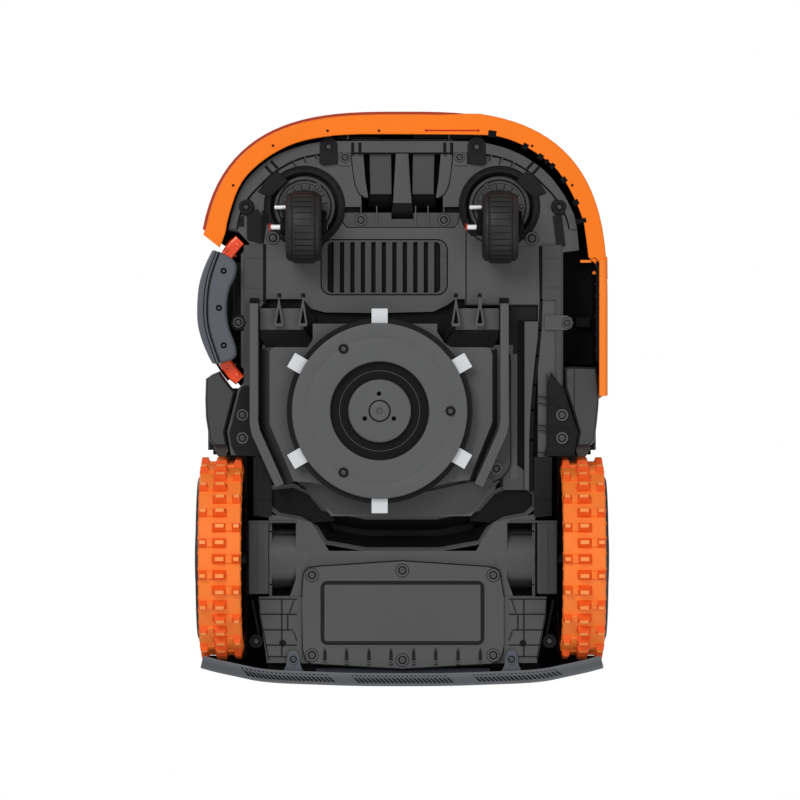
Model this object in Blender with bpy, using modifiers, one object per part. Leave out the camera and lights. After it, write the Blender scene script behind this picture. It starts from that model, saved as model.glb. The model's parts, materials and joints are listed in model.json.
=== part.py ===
"""Robotic lawn mower, large domestic size, 22 cm cut. Metres, +Z up.

The nose points along -Y, the mower's left is +X, and the ground is Z = 0.
Every number below is in millimetres; MM turns it into metres.
"""

import math

import bmesh
import bpy
from mathutils import Matrix, Vector

MM = 0.001

# ---------------------------------------------------------------- dimensions
HALF_WIDTH = 229.0        # cover, from the centre plane to the side
NOSE_REACH = 226.5        # cover, from its widest station to the nose
WIDE_Y = -95.0            # widest station of the cover
REAR_REACH = 425.0
ROOF_Z = 250.0            # crown of the rear body
ROOF_FALL = 0.00035       # how fast the crown falls towards the nose
SEAM_Z = 104.0            # lower edge of the hood
RIM_Z = 64.0              # underside of the front skirt
WALL = 3.0                # moulded wall

TUB_Z = (80.0, 150.0)
LID_Z = (150.3, 152.5)
BAND_Z = 76.0             # underside of the front lip of the tub
SHROUD_Z = (62.0, 66.0)

AXLE_Y, AXLE_Z = 178.7, 113.7
WHEEL_R = 113.7
TYRE_X = (177.5, 225.3)
RIM_R = 92.0
TREAD_ROWS = 38

CASTER_X, CASTER_Y = 108.7, -214.3
CASTER_R, CASTER_TRAIL = 40.5, 24.3

GUARD_AT = (-102.6, -98.9)      # centre of the round side guard
DISC_AT = (-24.8, 13.5)         # cutting disc axis
DISC_R, PIVOT_R, GLIDE_R = 103.0, 85.0, 97.5
BLADES = 6
KNOB_AT = (0.0, -45.0)
STOP_AT = (0.0, 50.0)
LID_HINGE = (236.0, 251.0)      # Y and Z of the panel lid's pin

# -------------------------------------------------------------------- scene
for old in list(bpy.data.objects):
    bpy.data.objects.remove(old, do_unlink=True)
for old in list(bpy.data.collections):
    bpy.data.collections.remove(old)

MOWER = bpy.data.collections.new("robotic_lawn_mower")
CUTTERS = bpy.data.collections.new("cutters")
for group in (MOWER, CUTTERS):
    bpy.context.scene.collection.children.link(group)


def linear(channel):
    c = channel / 255
    return c / 12.92 if c <= 0.04045 else ((c + 0.055) / 1.055) ** 2.4


def finish(name, rgb, roughness, metallic=0.0):
    made = bpy.data.materials.new(name)
    made.use_nodes = True
    shader = made.node_tree.nodes["Principled BSDF"]
    shader.inputs["Base Color"].default_value = (*map(linear, rgb), 1)
    shader.inputs["Roughness"].default_value = roughness
    shader.inputs["Metallic"].default_value = metallic
    return made


FINISHES = {
    "orange": (250, 122, 42, 0.42, 0),
    "orange_strip": (247, 132, 56, 0.42, 0),
    "orange_gloss": (226, 74, 22, 0.16, 0),
    "orange_tread": (246, 103, 40, 0.6, 0),
    "slate": (80, 84, 90, 0.5, 0),
    "slate_dark": (74, 77, 84, 0.55, 0),
    "charcoal": (78, 78, 80, 0.5, 0),
    "charcoal_dark": (60, 61, 63, 0.55, 0),
    "shroud": (87, 87, 89, 0.45, 0),
    "glide": (94, 95, 97, 0.38, 0),
    "rubber": (48, 46, 47, 0.75, 0),
    "steel": (212, 213, 215, 0.25, 1),
    "motor_steel": (96, 98, 102, 0.35, 1),
    "brass": (205, 170, 96, 0.3, 1),
    "battery": (42, 44, 48, 0.6, 0),
    "board": (28, 84, 52, 0.5, 0),
    "glass": (20, 24, 28, 0.08, 0),
    "red": (196, 34, 28, 0.35, 0),
}


# ------------------------------------------------------------------ helpers
def from_bmesh(name, bm, collection=CUTTERS):
    bmesh.ops.recalc_face_normals(bm, faces=bm.faces)
    mesh = bpy.data.meshes.new(name)
    bm.to_mesh(mesh)
    bm.free()
    made = bpy.data.objects.new(name, mesh)
    collection.objects.link(made)
    return made


def box(x, y, z):
    bm = bmesh.new()
    bmesh.ops.create_cube(bm, size=1)
    size = Vector((x[1] - x[0], y[1] - y[0], z[1] - z[0])) * MM
    middle = Vector((x[0] + x[1], y[0] + y[1], z[0] + z[1])) * MM / 2
    bmesh.ops.scale(bm, vec=size, verts=bm.verts)
    bmesh.ops.translate(bm, vec=middle, verts=bm.verts)
    return from_bmesh("box", bm)


def axis_matrix(axis):
    return {
        "Z": Matrix.Identity(4),
        "X": Matrix.Rotation(math.radians(90), 4, "Y"),
        "-X": Matrix.Rotation(math.radians(-90), 4, "Y"),
        "Y": Matrix.Rotation(math.radians(-90), 4, "X"),
    }[axis]


def rod(at, along, radius, axis="Z", sides=20):
    """A cylinder through the point at, from along[0] to along[1] on the given axis."""
    bm = bmesh.new()
    bmesh.ops.create_cone(bm, cap_ends=True, segments=sides, radius1=radius * MM,
                          radius2=radius * MM, depth=(along[1] - along[0]) * MM)
    shift = Matrix.Translation((0, 0, (along[0] + along[1]) / 2 * MM))
    base = Vector(at) * MM
    bmesh.ops.transform(bm, matrix=Matrix.Translation(base) @ axis_matrix(axis) @ shift, verts=bm.verts)
    return from_bmesh("rod", bm)


def baked(obj):
    """Swaps an object's mesh for the one its modifiers make."""
    bpy.context.view_layer.update()
    graph = bpy.context.evaluated_depsgraph_get()
    mesh = bpy.data.meshes.new_from_object(obj.evaluated_get(graph))
    old, obj.data = obj.data, mesh
    obj.modifiers.clear()
    bpy.data.meshes.remove(old)
    return obj


def corners(outline):
    """The outline without the points that lie on a straight run."""
    kept = []
    for i, b in enumerate(outline):
        a, c = Vector(outline[i - 1]), Vector(outline[(i + 1) % len(outline)])
        before, after = Vector(b) - a, c - Vector(b)
        if abs(before.x * after.y - before.y * after.x) > 1e-4 * before.length * after.length:
            kept.append(b)
    return kept


def flat(outline, z, holes=()):
    """A flat outline with holes, from z[0] to z[1]: a 2D curve, extruded, as a mesh."""
    curve = bpy.data.curves.new("flat", "CURVE")
    curve.dimensions = "2D"
    curve.fill_mode = "BOTH"
    curve.extrude = (z[1] - z[0]) / 2 * MM
    for points in map(corners, (outline, *holes)):
        spline = curve.splines.new("POLY")
        spline.points.add(len(points) - 1)
        spline.use_cyclic_u = True
        for point, (x, y) in zip(spline.points, points):
            point.co = (x * MM, y * MM, 0, 1)
    drawn = bpy.data.objects.new("flat", curve)
    CUTTERS.objects.link(drawn)
    drawn.location.z = (z[0] + z[1]) / 2 * MM
    bpy.context.view_layer.update()
    graph = bpy.context.evaluated_depsgraph_get()
    mesh = bpy.data.meshes.new_from_object(drawn.evaluated_get(graph))
    mesh.transform(drawn.matrix_world)
    bm = bmesh.new()
    bm.from_mesh(mesh)
    bmesh.ops.remove_doubles(bm, verts=bm.verts, dist=1e-6)
    made = from_bmesh("flat", bm)
    bpy.data.objects.remove(drawn)
    bpy.data.curves.remove(curve)
    return made


def flat_x(outline, x, holes=()):
    """The same for an outline drawn in Y and Z, from x[0] to x[1]."""
    made = flat(outline, x, holes)
    made.data.transform(Matrix(((0, 0, 1, 0), (1, 0, 0, 0), (0, 1, 0, 0), (0, 0, 0, 1))))
    return made


def turned(profile, at=(0, 0, 0), axis="Z", steps=40, ring=False):
    """A profile of (radius, height) points turned about an axis through at."""
    bm = bmesh.new()
    points = [bm.verts.new((r * MM, 0, h * MM)) for r, h in profile]
    for a, b in zip(points, points[1:] + points[:1] if ring else points[1:]):
        bm.edges.new((a, b))
    mesh = bpy.data.meshes.new("turned")
    bm.to_mesh(mesh)
    bm.free()
    made = bpy.data.objects.new("turned", mesh)
    CUTTERS.objects.link(made)
    screw = made.modifiers.new("turn", "SCREW")
    screw.steps = screw.render_steps = steps
    screw.use_merge_vertices = True
    screw.merge_threshold = 0.00001
    baked(made)
    made.data.transform(Matrix.Translation(Vector(at) * MM) @ axis_matrix(axis))
    bm = bmesh.new()
    bm.from_mesh(made.data)
    bmesh.ops.remove_doubles(bm, verts=bm.verts, dist=1e-6)
    bmesh.ops.recalc_face_normals(bm, faces=bm.faces)
    bm.to_mesh(made.data)
    bm.free()
    return made


def loft(sections, caps=True):
    """Closed sections of equal count, each a list of points, joined in order."""
    bm = bmesh.new()
    rings = [[bm.verts.new(Vector(p) * MM) for p in section] for section in sections]
    for a, b in zip(rings, rings[1:]):
        for i in range(len(a)):
            j = (i + 1) % len(a)
            bm.faces.new((a[i], a[j], b[j], b[i]))
    if caps:
        bm.faces.new(rings[0])
        bm.faces.new(rings[-1][::-1])
    bmesh.ops.triangulate(bm, faces=bm.faces)
    return from_bmesh("loft", bm)


def sheet(rows, thickness, merge=0.00001):
    """An open surface through rows of points, made solid inwards."""
    bm = bmesh.new()
    grid = [[bm.verts.new(Vector(p) * MM) for p in row] for row in rows]
    for a, b in zip(grid, grid[1:]):
        for i in range(len(a) - 1):
            bm.faces.new((a[i], a[i + 1], b[i + 1], b[i]))
    bmesh.ops.remove_doubles(bm, verts=bm.verts, dist=merge)
    bmesh.ops.recalc_face_normals(bm, faces=bm.faces)
    bm.faces.ensure_lookup_table()
    if sum(f.normal.z * f.calc_area() for f in bm.faces) < 0:
        bmesh.ops.reverse_faces(bm, faces=bm.faces)
    mesh = bpy.data.meshes.new("sheet")
    bm.to_mesh(mesh)
    bm.free()
    made = bpy.data.objects.new("sheet", mesh)
    CUTTERS.objects.link(made)
    solid = made.modifiers.new("wall", "SOLIDIFY")
    solid.thickness = thickness * MM
    solid.offset = -1
    solid.use_even_offset = True
    return baked(made)


def combine(first, others, operation):
    for other in others:
        step = first.modifiers.new("step", "BOOLEAN")
        step.operation = operation
        step.solver = "EXACT"
        step.object = other
        baked(first)
        bpy.data.objects.remove(other)
    return first


def joined(first, *others):
    return combine(first, others, "UNION")


def cut(first, *others):
    return combine(first, others, "DIFFERENCE")


def softened(obj, width, segments=1, angle=40):
    bevel = obj.modifiers.new("edge", "BEVEL")
    bevel.width = width * MM
    bevel.segments = segments
    bevel.limit_method = "ANGLE"
    bevel.angle_limit = math.radians(angle)
    return baked(obj)


def node(name, obj, skin, origin=(0, 0, 0)):
    """Names a finished solid, gives it its finish, and sets its origin."""
    obj.name = name
    obj.data.name = name
    CUTTERS.objects.unlink(obj)
    MOWER.objects.link(obj)
    obj.data.transform(Matrix.Translation(-Vector(origin) * MM))
    obj.location = Vector(origin) * MM
    obj.data.materials.clear()
    r, g, b, roughness, metallic = FINISHES[skin]
    obj.data.materials.append(finish(name + "_" + skin, (r, g, b), roughness, metallic))
    obj.data.shade_smooth()
    obj.data.set_sharp_from_angle(angle=math.radians(32))
    return obj


def pivot(name, at):
    made = bpy.data.objects.new(name, None)
    made.empty_display_size = 0.02
    made.location = Vector(at) * MM
    MOWER.objects.link(made)
    return made


def carry(parent, *children):
    bpy.context.view_layer.update()
    for child in children:
        child.parent = parent
        child.matrix_parent_inverse = parent.matrix_world.inverted()


def mirrored(half):
    """A closed outline from its +X half, given front to rear."""
    return half + [(-x, y) for x, y in reversed(half) if abs(x) > 0.01]


def offset(outline, distance):
    """A closed outline moved inwards by a distance, or outwards if it is negative."""
    area = sum(a[0] * b[1] - b[0] * a[1] for a, b in zip(outline, outline[1:] + outline[:1]))
    sign = 1 if area > 0 else -1
    moved = []
    for i, (x, y) in enumerate(outline):
        before = Vector((x, y)) - Vector(outline[i - 1])
        after = Vector(outline[(i + 1) % len(outline)]) - Vector((x, y))
        n1 = Vector((-before.y, before.x)).normalized() * sign
        n2 = Vector((-after.y, after.x)).normalized() * sign
        mitre = (n1 + n2).normalized()
        mitre *= distance / max(0.4, mitre.dot(n1))
        moved.append((x + mitre.x, y + mitre.y))
    return moved


def circle(x, y, r, count=24, start=0.0):
    return [(x + r * math.cos(start + 2 * math.pi * i / count),
             y + r * math.sin(start + 2 * math.pi * i / count)) for i in range(count)]


def rounded(x, y, r, steps=4):
    """A rectangle with round corners."""
    points = []
    for cx, cy, turn in ((x[1] - r, y[1] - r, 0), (x[0] + r, y[1] - r, 90),
                         (x[0] + r, y[0] + r, 180), (x[1] - r, y[0] + r, 270)):
        for i in range(steps + 1):
            a = math.radians(turn + 90 * i / steps)
            points.append((cx + r * math.cos(a), cy + r * math.sin(a)))
    return points


def at_fraction(line, fractions):
    """Points along a polyline at these fractions of its length."""
    lengths = [0.0]
    for a, b in zip(line, line[1:]):
        lengths.append(lengths[-1] + math.dist(a, b))
    found = []
    for f in fractions:
        want = f * lengths[-1]
        k = max(i for i in range(len(lengths) - 1) if lengths[i] <= want + 1e-9)
        part = (want - lengths[k]) / (lengths[k + 1] - lengths[k])
        part = min(1.0, max(0.0, part))
        found.append(tuple(a + (b - a) * part for a, b in zip(line[k], line[k + 1])))
    return found


def fractions_of(line):
    lengths = [0.0]
    for a, b in zip(line, line[1:]):
        lengths.append(lengths[-1] + math.dist(a, b))
    return [value / lengths[-1] for value in lengths]


# --------------------------------------------------------- the cover's form
def fullness(x, y):
    """0 on the spine of the cover, 1 on its outline."""
    along = abs((y - WIDE_Y) / NOSE_REACH) ** 3 if y < WIDE_Y else ((y - WIDE_Y) / REAR_REACH) ** 12
    return abs(x / HALF_WIDTH) ** 3 + along


def crown(y):
    return ROOF_Z - ROOF_FALL * (y - 150) ** 2 if y < 150 else ROOF_Z


def dome(x, y):
    return SEAM_Z + (crown(y) - SEAM_Z) * max(0.0, 1 - fullness(x, y)) ** (1 / 3)


def outline_half(last_y, angles=(0, 2, 6, 12, 20, 29, 38, 47, 56, 65, 74, 81, 86, 90)):
    points = []
    for a in angles:
        a = math.radians(a)
        points.append((HALF_WIDTH * math.sin(a) ** (2 / 3), WIDE_Y - NOSE_REACH * max(0.0, math.cos(a)) ** (2 / 3)))
    if last_y > WIDE_Y:
        points.append((HALF_WIDTH, last_y))
    return points


def side_x(y):
    along = abs((y - WIDE_Y) / NOSE_REACH) ** 3 if y < WIDE_Y else ((y - WIDE_Y) / REAR_REACH) ** 12
    return HALF_WIDTH * max(0.0, 1 - along) ** (1 / 3)


def guard_point(radius, degrees):
    """A point at this radius from the side guard's centre; 0 degrees is straight out to -X."""
    a = math.radians(degrees)
    return GUARD_AT[0] - radius * math.cos(a), GUARD_AT[1] + radius * math.sin(a)


# hood: an orange shell from the seam up to the edge around the rear body
outer = outline_half(-5)
fractions = fractions_of(outer)
inner = at_fraction([(0, -144), (60, -137), (90, -108), (96, -60), (103, -2), (120, 28), (165, 48)], fractions)
rows = []
for f in (0, 0.012, 0.04, 0.09, 0.18, 0.34, 0.62, 1):
    half = [tuple(o + (i - o) * f for o, i in zip(a, b)) for a, b in zip(outer, inner)]
    full = [(-x, y) for x, y in reversed(half[1:])] + half
    rows.append([(x, y, dome(x, y)) for x, y in full])
hood = sheet(rows, WALL)
scallop = [guard_point(117, a) for a in range(-37, 59, 5)]
scallop += [guard_point(210, a) for a in (58, 25, 0, -37)]
cut(hood, flat(scallop, (40, 260)))
hood = node("hood", hood, "orange", (0, 0, 0))

# front skirt: a flange below and a wall above, along the nose outline, set in
# and back from the hood so that the hood overhangs it in front and at -X
ring = [(-x, y) for x, y in reversed(outline_half(-158)[1:13])] + outline_half(-158)[:13]
left_end, right_end = (-221.4, -182.7), (side_x(-158) - 0.3, -158.0)
skirt_outer = []
for i, (x, y) in enumerate(ring):
    a = Vector(ring[max(0, i - 1)])
    b = Vector(ring[min(len(ring) - 1, i + 1)])
    inward = Vector((-(b - a).y, (b - a).x)).normalized()
    px, py = x + inward.x * 1.7 + 1.7, y + inward.y * 1.7 + 1.7
    if (x < 0 and py < left_end[1] - 4) or (x >= 0 and py < right_end[1] - 4):
        skirt_outer.append((min(px, side_x(py) - 0.3), py))
skirt_outer = [left_end] + skirt_outer + [right_end]
stations = fractions_of(skirt_outer)
sections = []
for i, (f, o) in enumerate(zip(stations, skirt_outer)):
    a = Vector(skirt_outer[max(0, i - 1)])
    b = Vector(skirt_outer[min(len(skirt_outer) - 1, i + 1)])
    inward = Vector((-(b - a).y, (b - a).x)).normalized()
    width = 25.3 if f < 0.5 else 25.3 - 12 * (f - 0.5)
    if i == 0:
        inward, width = Vector((18.4, 14.9)).normalized(), 23.5
    if i == len(stations) - 1:
        inward, width = Vector((-1, 0)), 19.3
    o = Vector(o)
    edge, wall = o + inward * width, o + inward * WALL
    sections.append([(o.x, o.y, RIM_Z), (edge.x, edge.y, RIM_Z), (edge.x, edge.y, RIM_Z + 3),
                     (wall.x, wall.y, RIM_Z + 3), (wall.x, wall.y, SEAM_Z - 0.6), (o.x, o.y, SEAM_Z - 0.6)])
front_skirt = node("front_skirt", loft(sections), "orange")


# cover frame: a U-shaped inner plate, with a lining wall down the +X side
def level_x(y, z):
    """Half width of the dome at this height."""
    low, high = 0.0, HALF_WIDTH
    for _ in range(40):
        mid = (low + high) / 2
        low, high = (mid, high) if dome(mid, y) > z else (low, mid)
    return low


plate_z = (158.0, 161.0)
edge = []
for y in (-40, -70, -100, -140, -180, -205, -225, -236):
    edge.append((level_x(y, plate_z[1] + 12) - 0.5, y))
right_edge = edge + [(0, -240)]
left_edge = []
for x, y in reversed(edge):
    if y > -190:
        reach = 98 ** 2 - (y - GUARD_AT[1]) ** 2
        x = min(x, 102.6 + math.sqrt(reach) if reach > 0 and abs(y - GUARD_AT[1]) < 76 else 166)
    left_edge.append((-x, y))
spine_edge = [(-100, -40), (-96, -100), (-66, -144), (0, -152), (66, -144), (96, -100), (100, -40)]
cover_frame = flat(right_edge + left_edge + spine_edge, plate_z)
joined(cover_frame, box((215.8, 218.3), (-152, -42), (62, 149)), box((204, 218), (-152, -42), (146, 149)),
       box((204, 207), (-152, -42), (146.5, 160)))
cover_frame = node("cover_frame", cover_frame, "slate_dark")

# side strip on +X
sections = []
for y in (-154, -130, -110, -95, -60, -3):
    x = side_x(y)
    sections.append([(x, y, 60), (x, y, SEAM_Z - 0.6), (x - WALL, y, SEAM_Z - 0.6), (x - WALL, y, 63),
                     (219.2, y, 63), (219.2, y, 60)])
side_strip = node("side_strip", loft(sections), "orange_strip")

# side guard on -X: a curved block below, and a glossy band above it
guard_outer = [(-210.7, -165.8), (-217.4, -152.4), (-223.3, -136.8), (-226.7, -121.2), (-228, -98.9), (-227.2, -82.2), (-223.3, -66.6), (-217, -51), (-210.7, -38.7)]
guard_inner = [(-200.7, -39.2), (-187.3, -44.3), (-184, -51), (-185.6, -61.5), (-193.5, -81.1), (-195.1, -101.1), (-192.9, -121.2), (-185.1, -135.7), (-184, -149.1), (-187.3, -155.2), (-198.5, -161.3)]
side_guard = softened(flat(guard_outer + guard_inner, (54, 84)), 2.0)
side_guard = node("side_guard", side_guard, "slate")
sections = []
for a in (-39, -32.5, -26, -19.5, -13, -6.5, 0, 6.5, 13, 19.5, 26, 32.5, 39):
    (xi, yi), (xo, yo) = guard_point(103.5, a), guard_point(116, a)
    top = dome(xo, yo) - 12
    sections.append([(xi, yi, 84.5), (xo, yo, 84.5), (xo, yo, top), (xi, yi, top)])
guard_carrier = node("guard_carrier", loft(sections), "orange_gloss")

# charging contacts on the nose
contacts = []
for name, side in (("charge_contact_left", 1), ("charge_contact_right", -1)):
    pad = box(sorted((side * 20, side * 30)), (-320.6, -318.4 + 0.1), (68, 100))
    contacts.append(node(name, softened(pad, 0.6), "brass"))

# float carriage: the sliding frame that carries the cover on the chassis lid
float_carriage = flat(rounded((-125, 125), (-262, -160), 12), (153.6, 156.6))
float_carriage = node("float_carriage", float_carriage, "charcoal_dark")

# ------------------------------------------------------------------ chassis
right_half = [(0, -287.3), (75.8, -287.3), (97, -284.5), (117.1, -279), (136, -270.6), (155, -257.8), (167.2, -246.1), (176.2, -233.8),
              (182.9, -223.8), (188.4, -212.6), (192.9, -202.6), (195.1, -190.3), (197.4, -165.8), (179.5, -163.6), (179.5, -11.9), (195.1, 37.1),
              (190.7, 62.8), (162.8, 63.9), (162.8, 130.8), (148.3, 131.9), (148.3, 221.1), (160.6, 223.3), (150.5, 294.7), (0, 295.8)]
left_front = [(-193.5, -189.2), (-191.2, -200.4), (-186.2, -218.2), (-180.6, -232.7), (-171.7, -246.6), (-155, -262.2), (-137.1, -273.4), (-117.1, -280.6), (-97, -285.7), (-75.8, -287.3)]
left_rear = [(-x, y) for x, y in reversed(right_half[15:23])]
left_notch = [(-182.5, -11.5), (-170, -25), (-179.5, -36.5), (-179.5, -161), (-170, -173), (-183, -187)]
tub_outline = right_half + left_rear + left_notch + left_front


tub = flat(tub_outline, TUB_Z)
cut(tub, flat(offset(tub_outline, WALL), (TUB_Z[0] + 4, TUB_Z[1] + 5)))
trough = [(-153.9, 96.2), (-110.4, 92.9), (-79.2, 130.8), (76.9, 130.8), (109.3, 92.9), (151.6, 96.2), (151.6, 128.6), (100.3, 135.2), (81.4, 169.8), (-80.3, 169.8), (-100.3, 135.2), (-151.6, 128.6)]
joined(tub, flat(offset(trough, -WALL), (TUB_Z[0] + 2, 113)))
band = [(-193.5, -189.2), (-191.2, -200.4), (-186.2, -218.2), (-180.6, -232.7), (-171.7, -246.6), (-155, -262.2), (-137.1, -273.4), (-117.1, -280.6), (-97, -285.7), (-75.8, -287.3),
        (0, -287.3), (75.8, -287.3), (97, -284.5), (117.1, -279), (136, -270.6), (155, -257.8), (167.2, -246.1), (176.2, -233.8), (182.9, -223.8), (188.4, -212.6), (192.9, -202.6), (195.1, -190.3),
        (186.8, -189.2), (184.5, -200.4), (179.5, -212.6), (170.6, -226), (158.3, -238.9), (147.6, -249.4), (137.1, -257.2), (117.7, -267.7), (94.2, -273.1), (75.8, -274.4),
        (-75.8, -274.4), (-94.2, -273.1), (-117.7, -267.7), (-137.1, -257.2), (-147.6, -249.4), (-158.3, -238.9), (-170.6, -226), (-178.4, -212.6), (-182.9, -200.4), (-184.5, -189.2)]
joined(tub, flat(offset(band, 0.4), (BAND_Z, TUB_Z[0] + 1)))
for x in ((-81.4, -280.6)[0], (82.5, -280.6)[0]):
    joined(tub, box((x - 10, x + 10), (-288.5, -260.6), (75.5, TUB_Z[0] + 1)))
holes = [
    flat(trough, (TUB_Z[0] - 5, 110)),
    rod((CASTER_X, CASTER_Y, 0), (76, 90), 43, sides=24),
    rod((-CASTER_X, CASTER_Y, 0), (76, 90), 43, sides=24),
    rod((*DISC_AT, 0), (76, 90), 40, sides=32),
    box((117, 144.5), (137, 220), (76, 90)),
    box((-144.5, -117), (137, 220), (76, 90)),
    box((-100.3, 101.5), (202.1, 280.2), (76, 90)),
    box((-83.6, 43.5), (-173, -120.1), (76, 90)),
    rod((0, AXLE_Y, AXLE_Z), (-160, 160), 9, "X", sides=20),
]
cut(tub, *holes)
chassis_tub = node("chassis_tub", tub, "charcoal")

lid_outline = offset(tub_outline, 2.4)     # lies on the tub's wall, and leaves the hood room to slide
rear = [i for i, p in enumerate(lid_outline) if p[1] > 285]
lid_outline[rear[0]:rear[-1] + 1] = [(150, 294), (140, 312), (120, 318), (-120, 318), (-140, 312), (-150, 294)]
chassis_lid = flat(lid_outline, LID_Z, [circle(*KNOB_AT, 8)])
chassis_lid = node("chassis_lid", chassis_lid, "charcoal_dark")

shroud_outline = [(-156.1, -59.9), (-156.1, 7), (-144.9, 46), (-124.9, 79.5), (-110.4, 92.9), (-97, 102.9), (-79.2, 130.8), (76.9, 130.8), (94.8, 107.4), (109.3, 88.4), (121.5, 51.6), (123.8, -59.9)]
shroud = flat(shroud_outline, (SHROUD_Z[0], TUB_Z[0] - 0.4))
cut(shroud, flat(offset(shroud_outline, WALL), (SHROUD_Z[1], 90)), rod((*DISC_AT, 0), (50, 90), 42))
cutter_shroud = node("cutter_shroud", shroud, "shroud")

hatch_outline = [(-109.8, 190.4), (-102.8, 188.8), (0, 181.5), (103.7, 189.4), (109.8, 191), (111.5, 285.8), (102.6, 293.6), (0, 300.3), (-102.6, 293.6), (-111.5, 285.8)]
hatch = flat(hatch_outline, (70, TUB_Z[0] - 0.4))
cut(hatch, flat(offset(hatch_outline, 4), (74, 90)))
battery_hatch = node("battery_hatch", hatch, "charcoal")

slots = [rounded((-78 + 11.7 * k - 2.2, -78 + 11.7 * k + 2.2), (-173, -120.1), 2, 1) for k in range(11)]
vent_grille = flat(rounded((-90.3, 50.2), (-178.1, -115.6), 11), (78.2, TUB_Z[0] - 0.3), slots)
vent_grille = node("vent_grille", vent_grille, "charcoal_dark")

# caster sockets: a ring in the tub floor, a ceiling and a bearing tube
for name, side in (("left_caster_socket", 1), ("right_caster_socket", -1)):
    socket = turned([(39, 80), (42.5, 80), (42.5, 97), (14, 97), (14, 140), (8.5, 140), (8.5, 94), (39, 94)],
                    (side * CASTER_X, CASTER_Y, 0), steps=24, ring=True)
    node(name, socket, "charcoal_dark", (side * CASTER_X, CASTER_Y, 0))

# drive: motor, clamp outside the tub wall
for word, side in (("left", 1), ("right", -1)):
    axis = "X" if side > 0 else "-X"
    clamp = box(sorted((side * 149, side * 172)), (136.6, 219), (78, 149.5))
    cut(clamp, rod((0, AXLE_Y, AXLE_Z), (140, 180), 10, axis, 24))
    node(word + "_motor_clamp", softened(clamp, 2.5), "charcoal")
    motor = turned([(0, 105), (28, 105), (28, 117.6), (34, 117.6), (34, 138), (24, 138), (24, 144.6), (7, 144.6), (7, 149.6), (0, 149.6)],
                   (0, AXLE_Y, AXLE_Z), axis, 20)
    node(word + "_gear_motor", motor, "motor_steel", (side * 130, AXLE_Y, AXLE_Z))

battery_pack = node("battery_pack", softened(box((-75, 75), (190, 285), (88, 138)), 4), "battery")
main_board = node("main_board", box((-70, 70), (-230, -150), (100, 102)), "board")

# rear body: the slate shell with the crown, the panel, the stop button and the knob
body_half = [(0, -130), (45, -127), (72, -112), (80, -85), (85, -30), (92, 10), (110, 40), (148, 60), (148, 110), (148, 160), (148, 210), (148, 255), (148, 290), (140, 305), (70, 310), (0, 312)]
body_outline = mirrored(body_half)
loop = body_outline + body_outline[:1]
rows = [[(x, y, 153.4) for x, y in loop]]
for f in (1, 0.93, 0.75, 0.45, 0):
    row = []
    for x, y in loop:
        yc = min(280.0, max(-95.0, y))
        px, py = x * f, yc + (y - yc) * f
        row.append((px, py, dome(px, py)))
    rows.append(row)
rear_body = sheet(rows, WALL)
cut(rear_body, box((-66.6, 66.6), (104.5, 240.5), (200, 270)), rod((*STOP_AT, 0), (200, 270), 18.8),
    rod((*KNOB_AT, 0), (200, 270), 8))
rear_body = node("rear_body", rear_body, "slate")

def domed_block(plan, heart, floor_z, drop):
    """A block on a flat outline, its top this far below the dome."""
    bm = bmesh.new()
    low = [bm.verts.new(Vector((x, y, floor_z)) * MM) for x, y in plan]
    bm.faces.new(low)
    ring = low
    for f in (1, 0.8, 0.4):
        spots = [(heart[0] + (x - heart[0]) * f, heart[1] + (y - heart[1]) * f) for x, y in plan]
        higher = [bm.verts.new(Vector((x, y, dome(x, y) - drop)) * MM) for x, y in spots]
        for i in range(len(ring)):
            j = (i + 1) % len(ring)
            bm.faces.new((ring[i], ring[j], higher[j], higher[i]))
        ring = higher
    top = bm.verts.new(Vector((*heart, dome(*heart) - drop)) * MM)
    for i in range(len(ring)):
        bm.faces.new((ring[i], ring[(i + 1) % len(ring)], top))
    bmesh.ops.triangulate(bm, faces=bm.faces)
    return from_bmesh("block", bm)


# wheel arches
for word, side in (("left", 1), ("right", -1)):
    arc = [math.radians(a) for a in range(20, 161, 10)]
    shell = [(AXLE_Y - 124 * math.cos(a), AXLE_Z + 124 * math.sin(a)) for a in arc]
    inside = [(AXLE_Y - 120.5 * math.cos(a), AXLE_Z + 120.5 * math.sin(a)) for a in reversed(arc)]
    arch = flat_x(shell + inside, sorted((side * 149.2, side * 207)))
    joined(arch, flat_x(offset(shell, 0.5), sorted((side * 149.2, side * 152))))
    node(word + "_fender", arch, "slate")
    half = [(181, -35.3), (217.4, -35.3), (219.7, 1.4), (215.2, 46), (207, 53.5), (193.8, 53.5), (196.8, 37), (181.4, -12)]
    points = [(side * x, y) for x, y in half]
    if side < 0:
        points = [(-184.5, -16), (-199, -24), (-217.4, -17), (-219.7, 1.4), (-215.2, 46), (-207, 53.5), (-193.8, 53.5), (-196.8, 37), (-185.2, -8)]
    cover = flat(points, (72, 160))
    well = [(x - side * WALL, y) for x, y in offset(points, WALL)]
    hollow = flat(offset(points, WALL), (75, 157))
    cut(cover, hollow, box(sorted((side * 176, side * 200)), (-8 if side > 0 else 2, 32), (76, 156)))
    # shoulder: closes the top behind the hood's rear edge, 8 mm clear of it
    if side > 0:
        plan, heart = [(168, 54.5), (196, 34.5), (222, 13), (222, 42), (213, 58), (186, 60), (168, 60)], (203, 44)
    else:
        plan = [(-168, 54.5), (-193, 36), guard_point(127, 54), guard_point(127, 48), guard_point(127, 42),
                (-219.7, -14), (-222, 14), (-222, 42), (-213, 58), (-186, 60), (-168, 60)]
        heart = (-203, 38)
    block, well = domed_block(plan, heart, 156, 1.5), domed_block(offset(plan, WALL), heart, 150, 4.5)
    joined(cover, cut(block, well))
    node(word + "_side_cover", cover, "slate_dark")

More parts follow.
